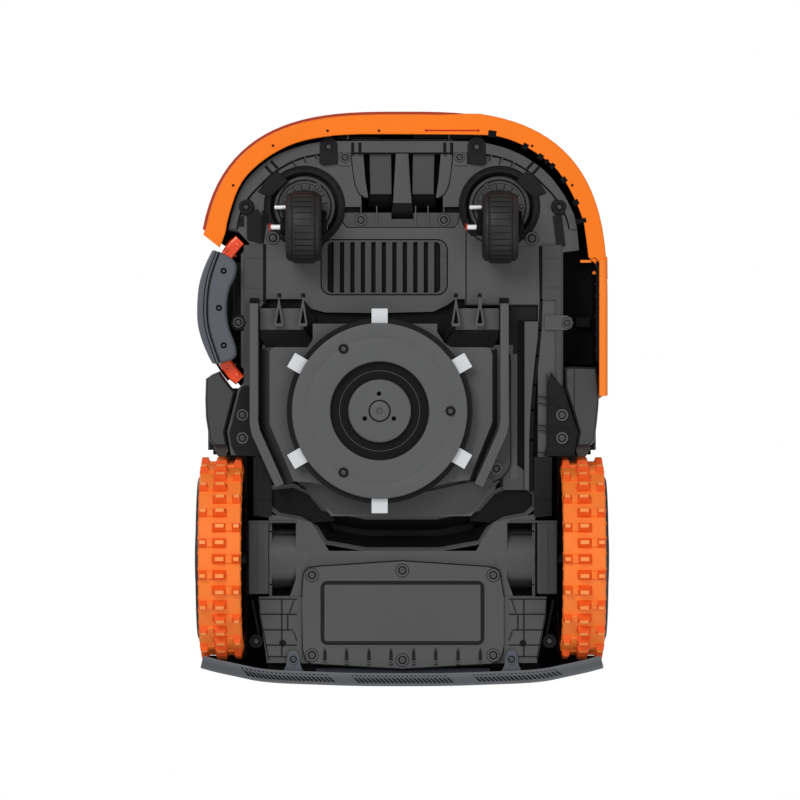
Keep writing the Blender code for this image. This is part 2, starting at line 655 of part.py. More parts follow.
# rear cover: a bumper shell across the tail
tail_half = [(0, 321.8), (-53.5, 321.5), (-100.3, 319.8), (-139.4, 318.4), (-162.8, 315.9), (-178.4, 312.5), (-194, 309.2), (-209.6, 305.8), (-225.2, 301.4)]
tail = list(reversed(tail_half)) + [(-x, y) for x, y in tail_half[1:]]
profile = [(14, 64), (3, 78), (0, 90), (0, 138), (4, 148), (8, 150), (11, 150), (11, 147), (6.4, 145.5), (3, 137), (3, 91), (6, 79.5), (16, 67), (16.5, 64)]
sections = []
for i, o in enumerate(tail):
    a, b = Vector(tail[max(0, i - 1)]), Vector(tail[min(len(tail) - 1, i + 1)])
    inward = Vector(((b - a).y, -(b - a).x)).normalized()
    if i in (0, len(tail) - 1):
        inward = Vector((0, -1))
    sections.append([(o[0] + inward.x * d, o[1] + inward.y * d, z) for d, z in profile])
rear_cover = node("rear_cover", loft(sections), "slate")

# control panel under its lid
panel = flat(rounded((-66, 66), (105, 240), 6, 3), (236, 253))
cut(panel, box((-58, 58), (112, 233), (246, 260)), box((-28, 28), (228, 238.6), (246, 260)),
    *[rod((x, 205, 0), (242, 250), 8.6, sides=16) for x in (-32, 0, 32)])
control_panel = node("control_panel", panel, "charcoal_dark")
display = node("display", softened(box((-46, 46), (124, 176), (246.3, 248)), 0.8), "glass")
hy, hz = LID_HINGE
lid_hinge_pin = node("lid_hinge_pin", rod((0, hy, hz), (-27.6, 27.6), 1.4, "X", 16), "steel", (0, hy, hz))
lid = flat(rounded((-57.5, 57.5), (112.6, 232.4), 4, 3), (250.2, 252.8))
joined(lid, box((-20, 20), (228, 236), (250.2, 252.8)), rod((0, hy, hz), (-20, 20), 2.6, "X", 16))
cut(lid, rod((0, hy, hz), (-30, 30), 1.75, "X", 16))
panel_lid = node("panel_lid", lid, "slate_dark", (0, hy, hz))

stop = turned([(0, 256), (24, 256), (27, 254.5), (27, 252), (18, 252), (18, 226), (0, 226)], (*STOP_AT, 0), steps=24)
stop_button = node("stop_button", stop, "red", (*STOP_AT, 252))
keys = []
for name, x in (("key_power", -32), ("key_start", 0), ("key_home", 32)):
    key = turned([(0, 249.4), (6.6, 249.4), (8, 248.4), (8, 243.6), (0, 243.6)], (x, 205, 0), steps=20)
    keys.append(node(name, key, "rubber", (x, 205, 246)))

knob = turned([(0, 251), (20, 251), (24, 248.5), (25, 240.5), (6, 240.5), (6, 105), (0, 105)], (*KNOB_AT, 0), steps=24)
grips = [rod((KNOB_AT[0] + 27.5 * math.cos(a), KNOB_AT[1] + 27.5 * math.sin(a), 0), (238, 254), 4.6, sides=12)
         for a in [math.radians(45 * k + 22.5) for k in range(8)]]
cut(knob, *grips)
height_knob = node("height_knob", knob, "charcoal", (*KNOB_AT, 246))

# ------------------------------------------------------------- cutting deck
deck = flat(rounded((-66, 40), (-64, 54), 12, 3), (130.6, 135))
joined(deck, rod((*KNOB_AT, 0), (118, 136), 12))
cut(deck, rod((*KNOB_AT, 0), (110, 140), 6.5))
deck_carrier = node("deck_carrier", deck, "charcoal_dark", (*KNOB_AT, 130))
motor = turned([(0, 130), (32, 130), (32, 70), (28, 66), (8, 66), (8, 62.6), (0, 62.6)], (*DISC_AT, 0), steps=24)
cutter_motor = node("cutter_motor", motor, "motor_steel", (*DISC_AT, 66))

disc = turned([(0, 62), (26, 62), (30, 58), (34, 48), (101, 48), (103, 47), (103, 45.6), (102, 45), (0, 45)], (*DISC_AT, 0), steps=36)
pivots = [(DISC_AT[0] + PIVOT_R * math.cos(math.radians(60 * k - 30)), DISC_AT[1] + PIVOT_R * math.sin(math.radians(60 * k - 30)))
          for k in range(BLADES)]
for x, y in pivots:
    joined(disc, rod((x, y, 0), (41.2, 46), 2.6, sides=8))
blade_disc = node("blade_disc", disc, "shroud", (*DISC_AT, 45))
glide = turned([(53, 40.2), (54, 36.6), (92, 36), (96.5, 37), (97.5, 38.6), (97.5, 40.2)], (*DISC_AT, 0), steps=32, ring=True)
for a in (0, 120, 240):
    x, y = DISC_AT[0] + 78.7 * math.cos(math.radians(a)), DISC_AT[1] + 78.7 * math.sin(math.radians(a))
    joined(glide, rod((x, y, 0), (39, 44.7), 5, sides=10))
glide_plate = node("glide_plate", glide, "glide", (*DISC_AT, 38))
cap = turned([(0, 44.7), (35, 44.7), (35, 39), (33, 37.5), (11.6, 37.5), (10.6, 36), (0, 36)], (*DISC_AT, 0), steps=24)
hub_cap = node("hub_cap", cap, "shroud", (*DISC_AT, 40))

blades = []
for k, (x, y) in enumerate(pivots):
    turn = math.radians(60 * k - 30)
    local = rounded((-6.4, 28.6), (-9, 9), 2, 1)
    place = lambda p: (x + p[0] * math.cos(turn) - p[1] * math.sin(turn), y + p[0] * math.sin(turn) + p[1] * math.cos(turn))
    blade = flat([place(p) for p in local], (43, 44), [circle(x, y, 3.3, 8)])
    blades.append(node(f"blade_{k + 1}", blade, "steel", (x, y, 43.5)))

# ------------------------------------------------------------------- wheels
wheel_sets = []
for word, side in (("left", 1), ("right", -1)):
    axis = "X" if side > 0 else "-X"
    tread = []
    for k in range(TREAD_ROWS):
        for r, part in ((106.2, -0.3), (WHEEL_R, -0.22), (WHEEL_R, 0.22), (106.2, 0.3)):
            a = 2 * math.pi * (k + 0.5 + part) / TREAD_ROWS - math.pi / 2 - math.pi / TREAD_ROWS
            tread.append((AXLE_Y + r * math.cos(a), AXLE_Z + r * math.sin(a)))
    tyre = flat_x(tread, sorted((side * TYRE_X[0], side * TYRE_X[1])), [circle(AXLE_Y, AXLE_Z, RIM_R + 0.6, 32)])
    at = (side * 201.4, AXLE_Y, AXLE_Z)
    tyre = node(word + "_tyre", tyre, "orange_tread", at)
    rim = turned([(0, 150), (8, 150), (8, 194), (30, 198), (84, 190), (86, 178), (91.7, 178), (91.7, 226.5), (87, 226.5),
                  (80, 206), (36, 204), (33, 229), (0, 229)], (0, AXLE_Y, AXLE_Z), axis, 24)
    rim = node(word + "_rim", rim, "charcoal_dark", at)
    hub = turned([(0, 229.3), (31, 229.3), (31, 230.4), (28, 231.5), (0, 231.5)], (0, AXLE_Y, AXLE_Z), axis, 20)
    hub = node(word + "_hubcap", hub, "slate_dark", at)
    wheel_sets.append((word, side, (tyre, rim, hub)))

# ------------------------------------------------------------------ casters
caster_sets = []
for word, side in (("left", 1), ("right", -1)):
    cx, cy = side * CASTER_X, CASTER_Y
    ay, az = cy + CASTER_TRAIL, CASTER_R
    fork = turned([(0, 141.5), (8, 141.5), (8, 93.6), (12, 90), (33, 90), (34, 89), (34, 85.4), (33, 84.4), (0, 84.4)], (cx, cy, 0), steps=20)
    leg = [(cy - 15, 86), (cy - 15, 80), (ay - 9.5, az + 6)]
    leg += [(ay + 11 * math.cos(math.radians(a)), az + 11 * math.sin(math.radians(a))) for a in (170, 215, 270, 325, 10, 50)]
    leg += [(cy + 22, 80), (cy + 20, 86)]
    for x in ((cx - 24.8, cx - 21.2), (cx + 21.2, cx + 24.8)):
        joined(fork, flat_x(leg, x))
    joined(fork, rod((cx, cy, 78.4), (-34, 25.5), 2.9, "X", 10))
    cut(fork, rod((cx, ay, az), (-40, 40), 3.4, "X", 12))
    fork = node(word + "_caster_fork", fork, "charcoal_dark", (cx, cy, 84))
    tyre = turned([(3.4, -20), (31, -20), (36.5, -17.5), (39.8, -11), (40.5, -4), (40.5, 4), (39.8, 11), (36.5, 17.5), (31, 20), (3.4, 20)],
                  (cx, ay, az), "X", 24, ring=True)
    tyre = node(word + "_caster_tyre", tyre, "rubber", (cx, ay, az))
    pin = rod((cx, ay, az), (-38.5, 26.5), 2.9, "X", 12)
    pin = node(word + "_caster_axle", pin, "steel", (cx, ay, az))
    caster_sets.append((word, cx, fork, tyre, pin))

# ---------------------------------------------------- joints, as parent empties
chassis = pivot("chassis_pivot", (0, 0, TUB_Z[0]))
carriage_pivot = pivot("carriage_pivot", (0, -210, 155))
cover_pivot = pivot("cover_pivot", (0, -150, 160))
carry(carriage_pivot, float_carriage, cover_pivot)
carry(cover_pivot, hood, front_skirt, cover_frame, side_strip, side_guard, guard_carrier, *contacts)
for word, side, pieces in wheel_sets:
    drive = pivot(word + "_drive_pivot", (side * 201.4, AXLE_Y, AXLE_Z))
    carry(chassis, drive)
    carry(drive, *pieces)
for word, cx, fork, tyre, pin in caster_sets:
    swivel = pivot(word + "_swivel_pivot", (cx, CASTER_Y, 84))
    spin = pivot(word + "_caster_pivot", (cx, CASTER_Y + CASTER_TRAIL, CASTER_R))
    carry(chassis, swivel)
    carry(swivel, fork, pin, spin)
    carry(spin, tyre)
deck_pivot = pivot("deck_pivot", (*KNOB_AT, 130))
disc_pivot = pivot("disc_pivot", (*DISC_AT, 45))
carry(chassis, deck_pivot, carriage_pivot)
carry(deck_pivot, deck_carrier, cutter_motor, disc_pivot)
carry(disc_pivot, blade_disc, glide_plate, hub_cap, *blades)
carry(chassis, height_knob, stop_button, panel_lid, *keys)
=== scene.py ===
"""Looks of a robotic lawn mower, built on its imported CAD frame. Metres, +Z up; numbers below are millimetres.

The nose points along -Y, the mower's left is +X, and the ground is Z = 0.
"""
import json
import math

import bmesh
import bpy
from mathutils import Matrix, Vector

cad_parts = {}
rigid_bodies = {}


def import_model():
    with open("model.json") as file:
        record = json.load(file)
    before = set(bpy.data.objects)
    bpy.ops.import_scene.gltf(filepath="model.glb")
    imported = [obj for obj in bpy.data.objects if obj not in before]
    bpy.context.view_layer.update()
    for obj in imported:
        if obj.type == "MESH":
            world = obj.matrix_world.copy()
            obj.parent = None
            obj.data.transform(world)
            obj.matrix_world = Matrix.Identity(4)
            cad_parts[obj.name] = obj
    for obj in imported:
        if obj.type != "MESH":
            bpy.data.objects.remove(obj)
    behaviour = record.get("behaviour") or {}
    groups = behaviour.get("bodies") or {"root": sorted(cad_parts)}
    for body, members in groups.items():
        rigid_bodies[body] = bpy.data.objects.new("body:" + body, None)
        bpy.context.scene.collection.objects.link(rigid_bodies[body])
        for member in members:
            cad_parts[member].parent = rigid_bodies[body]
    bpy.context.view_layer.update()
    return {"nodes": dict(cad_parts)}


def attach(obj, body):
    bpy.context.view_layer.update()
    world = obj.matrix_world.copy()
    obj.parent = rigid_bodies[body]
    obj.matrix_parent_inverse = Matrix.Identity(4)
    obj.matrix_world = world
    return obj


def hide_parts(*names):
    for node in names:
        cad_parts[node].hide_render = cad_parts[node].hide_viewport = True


for old in list(bpy.data.objects):
    bpy.data.objects.remove(old, do_unlink=True)

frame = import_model()
NODES = frame["nodes"]
MM = 0.001

# ------------------------------------------------------------- the CAD's sizes
HALF_WIDTH, NOSE_REACH, WIDE_Y, REAR_REACH = 229.0, 226.5, -95.0, 425.0
ROOF_Z, ROOF_FALL, SEAM_Z, RIM_Z, WALL = 250.0, 0.00035, 104.0, 64.0, 3.0
AXLE_Y, AXLE_Z, WHEEL_R = 178.7, 113.7, 113.7
CASTER_X, CASTER_Y, CASTER_R, CASTER_TRAIL = 108.7, -214.3, 40.5, 24.3
GUARD_AT, DISC_AT, KNOB_AT, STOP_AT = (-102.6, -98.9), (-24.8, 13.5), (0.0, -45.0), (0.0, 50.0)
PIVOT_R, FLOOR_Z = 85.0, 80.0


def linear(channel):
    c = channel / 255
    return c / 12.92 if c <= 0.04045 else ((c + 0.055) / 1.055) ** 2.4


def tone(rgb, gain=1.0):
    return (*(min(1.0, linear(c) * gain) for c in rgb), 1)


# ------------------------------------------------------------------- materials
def link(tree, a, b):
    tree.links.new(a, b)


def finish(name, rgb, roughness, grain=0.12, grain_mm=0.7, spread=0.10, drift=0.05, metallic=0.0,
           coat=0.0, specular=0.5, dust=0.0, dust_rgb=(120, 112, 98), brushed=None, worn=0.0):
    """Moulded plastic or metal: a tone that drifts, a fine grain in bump and gloss, and lighter worn edges."""
    made = bpy.data.materials.new(name)
    made.use_nodes = True
    tree = made.node_tree
    shader = tree.nodes["Principled BSDF"]
    shader.inputs["Metallic"].default_value = metallic
    shader.inputs["Specular IOR Level"].default_value = specular
    if coat:
        shader.inputs["Coat Weight"].default_value = coat
        shader.inputs["Coat Roughness"].default_value = 0.06
    at = tree.nodes.new("ShaderNodeTexCoord")
    spot = at.outputs["Object"]
    if brushed:
        stretch = tree.nodes.new("ShaderNodeMapping")
        stretch.inputs["Scale"].default_value = brushed
        link(tree, spot, stretch.inputs["Vector"])
        fine_at = stretch.outputs["Vector"]
    else:
        fine_at = spot
    slow = tree.nodes.new("ShaderNodeTexNoise")
    slow.inputs["Scale"].default_value = 9
    slow.inputs["Detail"].default_value = 3
    link(tree, spot, slow.inputs["Vector"])
    fine = tree.nodes.new("ShaderNodeTexNoise")
    fine.inputs["Scale"].default_value = 1000 / grain_mm / 2
    fine.inputs["Detail"].default_value = 2
    link(tree, fine_at, fine.inputs["Vector"])
    ramp = tree.nodes.new("ShaderNodeMix")
    ramp.data_type = "RGBA"
    ramp.inputs[6].default_value = tone(rgb, 1 - spread)
    ramp.inputs[7].default_value = tone(rgb, 1 + spread)
    mixed = tree.nodes.new("ShaderNodeMath")
    mixed.operation = "MULTIPLY_ADD"
    mixed.inputs[1].default_value = 0.35
    link(tree, fine.outputs["Fac"], mixed.inputs[0])
    half = tree.nodes.new("ShaderNodeMath")
    half.operation = "MULTIPLY"
    half.inputs[1].default_value = 0.65
    link(tree, slow.outputs["Fac"], half.inputs[0])
    link(tree, half.outputs[0], mixed.inputs[2])
    link(tree, mixed.outputs[0], ramp.inputs[0])
    colour = ramp.outputs[2]
    if worn:
        edge = tree.nodes.new("ShaderNodeBevel")
        edge.samples = 4
        edge.inputs["Radius"].default_value = 0.0009
        geometry = tree.nodes.new("ShaderNodeNewGeometry")
        match = tree.nodes.new("ShaderNodeVectorMath")
        match.operation = "DOT_PRODUCT"
        link(tree, edge.outputs["Normal"], match.inputs[0])
        link(tree, geometry.outputs["Normal"], match.inputs[1])
        amount = tree.nodes.new("ShaderNodeMapRange")
        amount.inputs["From Min"].default_value = 1.0
        amount.inputs["From Max"].default_value = 0.86
        amount.inputs["To Max"].default_value = worn
        link(tree, match.outputs["Value"], amount.inputs["Value"])
        lighter = tree.nodes.new("ShaderNodeMix")
        lighter.data_type = "RGBA"
        lighter.inputs[7].default_value = tone(tuple(min(255, c * 1.35 + 14) for c in rgb))
        link(tree, amount.outputs[0], lighter.inputs[0])
        link(tree, colour, lighter.inputs[6])
        colour = lighter.outputs[2]
    if dust:
        where = tree.nodes.new("ShaderNodeMapRange")
        where.inputs["From Min"].default_value = 0.52
        where.inputs["From Max"].default_value = 0.75
        where.inputs["To Max"].default_value = dust
        link(tree, slow.outputs["Fac"], where.inputs["Value"])
        over = tree.nodes.new("ShaderNodeMix")
        over.data_type = "RGBA"
        over.inputs[7].default_value = tone(dust_rgb)
        link(tree, where.outputs[0], over.inputs[0])
        link(tree, colour, over.inputs[6])
        colour = over.outputs[2]
    link(tree, colour, shader.inputs["Base Color"])
    gloss = tree.nodes.new("ShaderNodeMapRange")
    gloss.inputs["To Min"].default_value = max(0.02, roughness - drift)
    gloss.inputs["To Max"].default_value = min(1.0, roughness + drift)
    link(tree, mixed.outputs[0], gloss.inputs["Value"])
    link(tree, gloss.outputs[0], shader.inputs["Roughness"])
    bump = tree.nodes.new("ShaderNodeBump")
    bump.inputs["Strength"].default_value = grain
    bump.inputs["Distance"].default_value = 0.0004
    link(tree, fine.outputs["Fac"], bump.inputs["Height"])
    link(tree, bump.outputs["Normal"], shader.inputs["Normal"])
    return made


SKINS = {
    "orange_hood": finish("orange_shell", (255, 122, 28), 0.6, worn=0.1, specular=0.12),
    "orange_strip": finish("orange_strip", (255, 128, 40), 0.55, worn=0.15, specular=0.22),
    # painted shade: the darker red-brown of the hood's shaded overhang, used on the sheet under its edge
    "orange_lip_painted_shade": finish("orange_lip_painted_shade", (168, 62, 36), 0.6, specular=0.3),
    "orange_gloss": finish("orange_gloss", (250, 72, 14), 0.16, grain=0.03, coat=0.5),
    "orange_tread": finish("orange_tread", (252, 126, 46), 0.58, grain=0.2, grain_mm=0.9, spread=0.07, specular=0.25),
    # painted shade and highlight: a darker orange for the lugs' shaded flanks, a lighter orange for their lit tops
    "orange_lug_painted_shade": finish("orange_lug_painted_shade", (238, 92, 22), 0.58, grain=0.2, grain_mm=0.9, spread=0.07, specular=0.25),
    "orange_cap_painted_highlight": finish("lug_top_painted_highlight", (255, 150, 74), 0.5, grain=0.25, grain_mm=0.9, spread=0.06, specular=0.4),
    "slate": finish("slate_plastic", (74, 78, 85), 0.45, worn=0.2),
    "slate_rear": finish("slate_rear_plastic", (86, 88, 92), 0.5, worn=0.15),
    "slate_dark": finish("slate_dark_plastic", (40, 43, 50), 0.5, worn=0.2),
    "cover_grey": finish("side_cover_plastic", (60, 60, 60), 0.52, dust=0.03, specular=0.3),
    "charcoal": finish("charcoal_plastic", (74, 74, 74), 0.52, worn=0.3, dust=0.03, specular=0.35),
    # a darker charcoal: the plastic's own tone, and on recessed floors also painted shade
    "charcoal_low": finish("charcoal_low_and_recess_shade", (64, 64, 64), 0.54, dust=0.04, specular=0.32),
    # dark charcoal plastic, also used as painted shade on the darker deep plates and groove bands
    "charcoal_dark": finish("charcoal_dark_plastic_and_painted_shade", (17, 17, 18), 0.6, worn=0.2, specular=0.2),
    "shroud": finish("shroud_plastic", (77, 77, 77), 0.52, worn=0.3, dust=0.03, specular=0.35),
    "glide": finish("glide_plastic", (82, 82, 82), 0.52, grain=0.08, worn=0.2, specular=0.35),
    # black plastic, also used as painted shade in grooves, wells, gaps and the trough
    "black": finish("black_plastic_and_painted_shade", (9, 9, 10), 0.65, specular=0.15),
    # blue-black liner, also used as painted shade in the skirt's notches and the guard's screw wells
    "ink": finish("blue_black_liner_and_painted_shade", (4, 5, 8), 0.65, specular=0.12),
    "rubber": finish("caster_rubber", (30, 28, 28), 0.5, specular=0.35, grain=0.3, grain_mm=1.2, dust=0.06, dust_rgb=(80, 40, 36)),
    "rim": finish("rim_plastic", (24, 25, 28), 0.5, worn=0.3),
    "steel": finish("bright_steel", (250, 250, 252), 0.4, grain=0.05, metallic=0.4, brushed=(1, 14, 1)),
    "blade": finish("blade_steel", (208, 209, 211), 0.5, grain=0.06, spread=0.03, metallic=0.1, brushed=(1, 9, 1), specular=0.3),
    "screw": finish("screw_steel", (74, 74, 76), 0.45, grain=0.06, metallic=0.2, specular=0.35),
    "motor": finish("motor_steel", (80, 82, 86), 0.36, metallic=0.8, brushed=(12, 1, 1)),
    "brass": finish("contact_brass", (190, 150, 84), 0.3, metallic=1, brushed=(1, 1, 9)),
    "battery": finish("battery_case", (44, 46, 50), 0.55),
    "board": finish("circuit_board", (26, 84, 52), 0.45, spread=0.3),
    "glass": finish("display_glass", (14, 18, 22), 0.06, grain=0.0, coat=1.0),
    "red": finish("stop_red", (200, 30, 24), 0.3, coat=0.3),
    # painted shade for the small holes in the skirt's flange
    "red_dot_hole_shade": finish("red_hole_shade", (62, 12, 8), 0.6, specular=0.15),
    "red_line": finish("red_line", (190, 38, 12), 0.6, specular=0.15),
    "foot_brown": finish("foot_brown", (46, 36, 34), 0.55),
}


# --------------------------------------------------------------- shape helpers
def plain(bm):
    mesh = bpy.data.meshes.new("part")
    bm.to_mesh(mesh)
    bm.free()
    return mesh


def corners(outline):
    kept = []
    for i, b in enumerate(outline):
        a, c = Vector(outline[i - 1]), Vector(outline[(i + 1) % len(outline)])
        before, after = Vector(b) - a, c - Vector(b)
        if abs(before.x * after.y - before.y * after.x) > 1e-4 * before.length * after.length:
            kept.append(b)
    return kept


def curve_plate(outline, z, holes=()):
    curve = bpy.data.curves.new("plate", "CURVE")
    curve.dimensions = "2D"
    curve.fill_mode = "BOTH"
    curve.extrude = (z[1] - z[0]) / 2 * MM
    for points in map(corners, (outline, *holes)):
        spline = curve.splines.new("POLY")
        spline.points.add(len(points) - 1)
        spline.use_cyclic_u = True
        for point, (x, y) in zip(spline.points, points):
            point.co = (x * MM, y * MM, 0, 1)
    drawn = bpy.data.objects.new("plate", curve)
    bpy.context.scene.collection.objects.link(drawn)
    drawn.location.z = (z[0] + z[1]) / 2 * MM
    bpy.context.view_layer.update()
    mesh = bpy.data.meshes.new_from_object(drawn.evaluated_get(bpy.context.evaluated_depsgraph_get()))
    mesh.transform(drawn.matrix_world)
    bpy.data.objects.remove(drawn)
    bpy.data.curves.remove(curve)
    bm = bmesh.new()
    bm.from_mesh(mesh)
    bpy.data.meshes.remove(mesh)
    bmesh.ops.remove_doubles(bm, verts=bm.verts, dist=1e-6)
    bmesh.ops.dissolve_limit(bm, angle_limit=0.01, verts=bm.verts, edges=bm.edges)
    return bm


def prism(outline, z, top=None):
    """A solid on a simple outline; top is the outline at z[1] if it differs."""
    outline = corners(outline) if top is None else outline
    top = top or outline
    bm = bmesh.new()
    low = [bm.verts.new((x * MM, y * MM, z[0] * MM)) for x, y in outline]
    high = [bm.verts.new((x * MM, y * MM, z[1] * MM)) for x, y in top]
    bm.faces.new(low[::-1])
    bm.faces.new(high)
    for i in range(len(low)):
        j = (i + 1) % len(low)
        bm.faces.new((low[i], low[j], high[j], high[i]))
    return bm


def eased(bm, width, segments=2, angle=35):
    """Rounds the sharp edges of one shape."""
    bmesh.ops.recalc_face_normals(bm, faces=bm.faces)
    if width > 0:
        sharp = [e for e in bm.edges if len(e.link_faces) == 2 and e.calc_face_angle(0) > math.radians(angle)]
        bmesh.ops.bevel(bm, geom=sharp, offset=width * MM, offset_type="OFFSET", segments=segments, profile=0.6,
                        affect="EDGES", clamp_overlap=True)
    return bm


def axis_matrix(axis):
    return {"Z": Matrix.Identity(4), "X": Matrix.Rotation(math.radians(90), 4, "Y"),
            "-X": Matrix.Rotation(math.radians(-90), 4, "Y"), "Y": Matrix.Rotation(math.radians(-90), 4, "X")}[axis]


def lathe(profile, steps=48, ring=False):
    """A profile of (radius, height) points turned about Z."""
    bm = bmesh.new()
    rows = []
    for r, h in profile:
        if r < 1e-6:
            rows.append([bm.verts.new((0, 0, h * MM))] * steps)
        else:
            rows.append([bm.verts.new((r * MM * math.cos(2 * math.pi * k / steps), r * MM * math.sin(2 * math.pi * k / steps), h * MM))
                         for k in range(steps)])
    pairs = list(zip(rows, rows[1:]))
    if ring:
        pairs.append((rows[-1], rows[0]))
    for a, b in pairs:
        for k in range(steps):
            j = (k + 1) % steps
            face = []
            for v in (a[k], a[j], b[j], b[k]):
                if v not in face:
                    face.append(v)
            if len(face) > 2:
                bm.faces.new(face)
    bmesh.ops.recalc_face_normals(bm, faces=bm.faces)
    return bm


def skin_over(sections, closed=True, caps=True):
    """Sections of equal count joined in order."""
    bm = bmesh.new()
    rings = [[bm.verts.new(Vector(p) * MM) for p in section] for section in sections]
    count = len(sections[0])
    for a, b in zip(rings, rings[1:]):
        for i in range(count if closed else count - 1):
            j = (i + 1) % count
            face = []
            for v in (a[i], a[j], b[j], b[i]):
                if v not in face:
                    face.append(v)
            bm.faces.new(face)
    if closed and caps:
        bm.faces.new(rings[0][::-1])
        bm.faces.new(rings[-1])
    bmesh.ops.recalc_face_normals(bm, faces=bm.faces)
    return bm


def sheet(rows, thickness):
    """An open surface through rows of points, made solid inwards."""
    bm = skin_over(rows, closed=False)
    bmesh.ops.remove_doubles(bm, verts=bm.verts, dist=1e-5)
    bmesh.ops.recalc_face_normals(bm, faces=bm.faces)
    if sum(f.normal.z * f.calc_area() for f in bm.faces) < 0:
        bmesh.ops.reverse_faces(bm, faces=bm.faces)
    made = bpy.data.objects.new("sheet", plain(bm))
    bpy.context.scene.collection.objects.link(made)
    solid = made.modifiers.new("wall", "SOLIDIFY")
    solid.thickness = thickness * MM
    solid.offset = -1
    solid.use_even_offset = True
    return made


def baked(obj):
    bpy.context.view_layer.update()
    mesh = bpy.data.meshes.new_from_object(obj.evaluated_get(bpy.context.evaluated_depsgraph_get()))
    obj.modifiers.clear()
    obj.data = mesh
    return obj


def cut(obj, *tools):
    """Takes solids out of an object."""
    for bm in tools:
        bmesh.ops.recalc_face_normals(bm, faces=bm.faces)
        tool = bpy.data.objects.new("tool", plain(bm))
        bpy.context.scene.collection.objects.link(tool)
        step = obj.modifiers.new("cut", "BOOLEAN")
        step.operation = "DIFFERENCE"
        step.solver = "EXACT"
        step.object = tool
        baked(obj)
        bpy.data.objects.remove(tool)
    return obj


def circle(x, y, r, count=32, start=0.0):
    return [(x + r * math.cos(start + 2 * math.pi * i / count), y + r * math.sin(start + 2 * math.pi * i / count))
            for i in range(count)]


def rounded(x, y, r, steps=5):
    points = []
    for cx, cy, turn in ((x[1] - r, y[1] - r, 0), (x[0] + r, y[1] - r, 90), (x[0] + r, y[0] + r, 180), (x[1] - r, y[0] + r, 270)):
        for i in range(steps + 1):
            a = math.radians(turn + 90 * i / steps)
            points.append((cx + r * math.cos(a), cy + r * math.sin(a)))
    return points


def offset(outline, distance):
    area = sum(a[0] * b[1] - b[0] * a[1] for a, b in zip(outline, outline[1:] + outline[:1]))
    sign = 1 if area > 0 else -1
    moved = []
    for i, (x, y) in enumerate(outline):
        before = Vector((x, y)) - Vector(outline[i - 1])
        after = Vector(outline[(i + 1) % len(outline)]) - Vector((x, y))
        n1 = Vector((-before.y, before.x)).normalized() * sign
        n2 = Vector((-after.y, after.x)).normalized() * sign
        mitre = (n1 + n2).normalized()
        mitre *= distance / max(0.4, mitre.dot(n1))
        moved.append((x + mitre.x, y + mitre.y))
    return moved


def mirrored(half):
    return half + [(-x, y) for x, y in reversed(half) if abs(x) > 0.01]


def flip(points, about=0.0):
    """The same outline on the other side of the line x = about."""
    return [(2 * about - x, y) for x, y in points]


def smooth_line(points, times=2):
    """Corner cutting on an open line, its ends kept."""
    for _ in range(times):
        fresh = [points[0]]
        for a, b in zip(points, points[1:]):
            fresh.append(tuple(p * 0.75 + q * 0.25 for p, q in zip(a, b)))
            fresh.append(tuple(p * 0.25 + q * 0.75 for p, q in zip(a, b)))
        fresh.append(points[-1])
        points = fresh
    return points


def fractions_of(line):
    lengths = [0.0]
    for a, b in zip(line, line[1:]):
        lengths.append(lengths[-1] + math.dist(a, b))
    return [value / lengths[-1] for value in lengths]


def at_fraction(line, fractions):
    lengths = [0.0]
    for a, b in zip(line, line[1:]):
        lengths.append(lengths[-1] + math.dist(a, b))
    found = []
    for f in fractions:
        want = f * lengths[-1]
        k = max(i for i in range(len(lengths) - 1) if lengths[i] <= want + 1e-9)
        part = min(1.0, max(0.0, (want - lengths[k]) / (lengths[k + 1] - lengths[k])))
        found.append(tuple(a + (b - a) * part for a, b in zip(line[k], line[k + 1])))
    return found


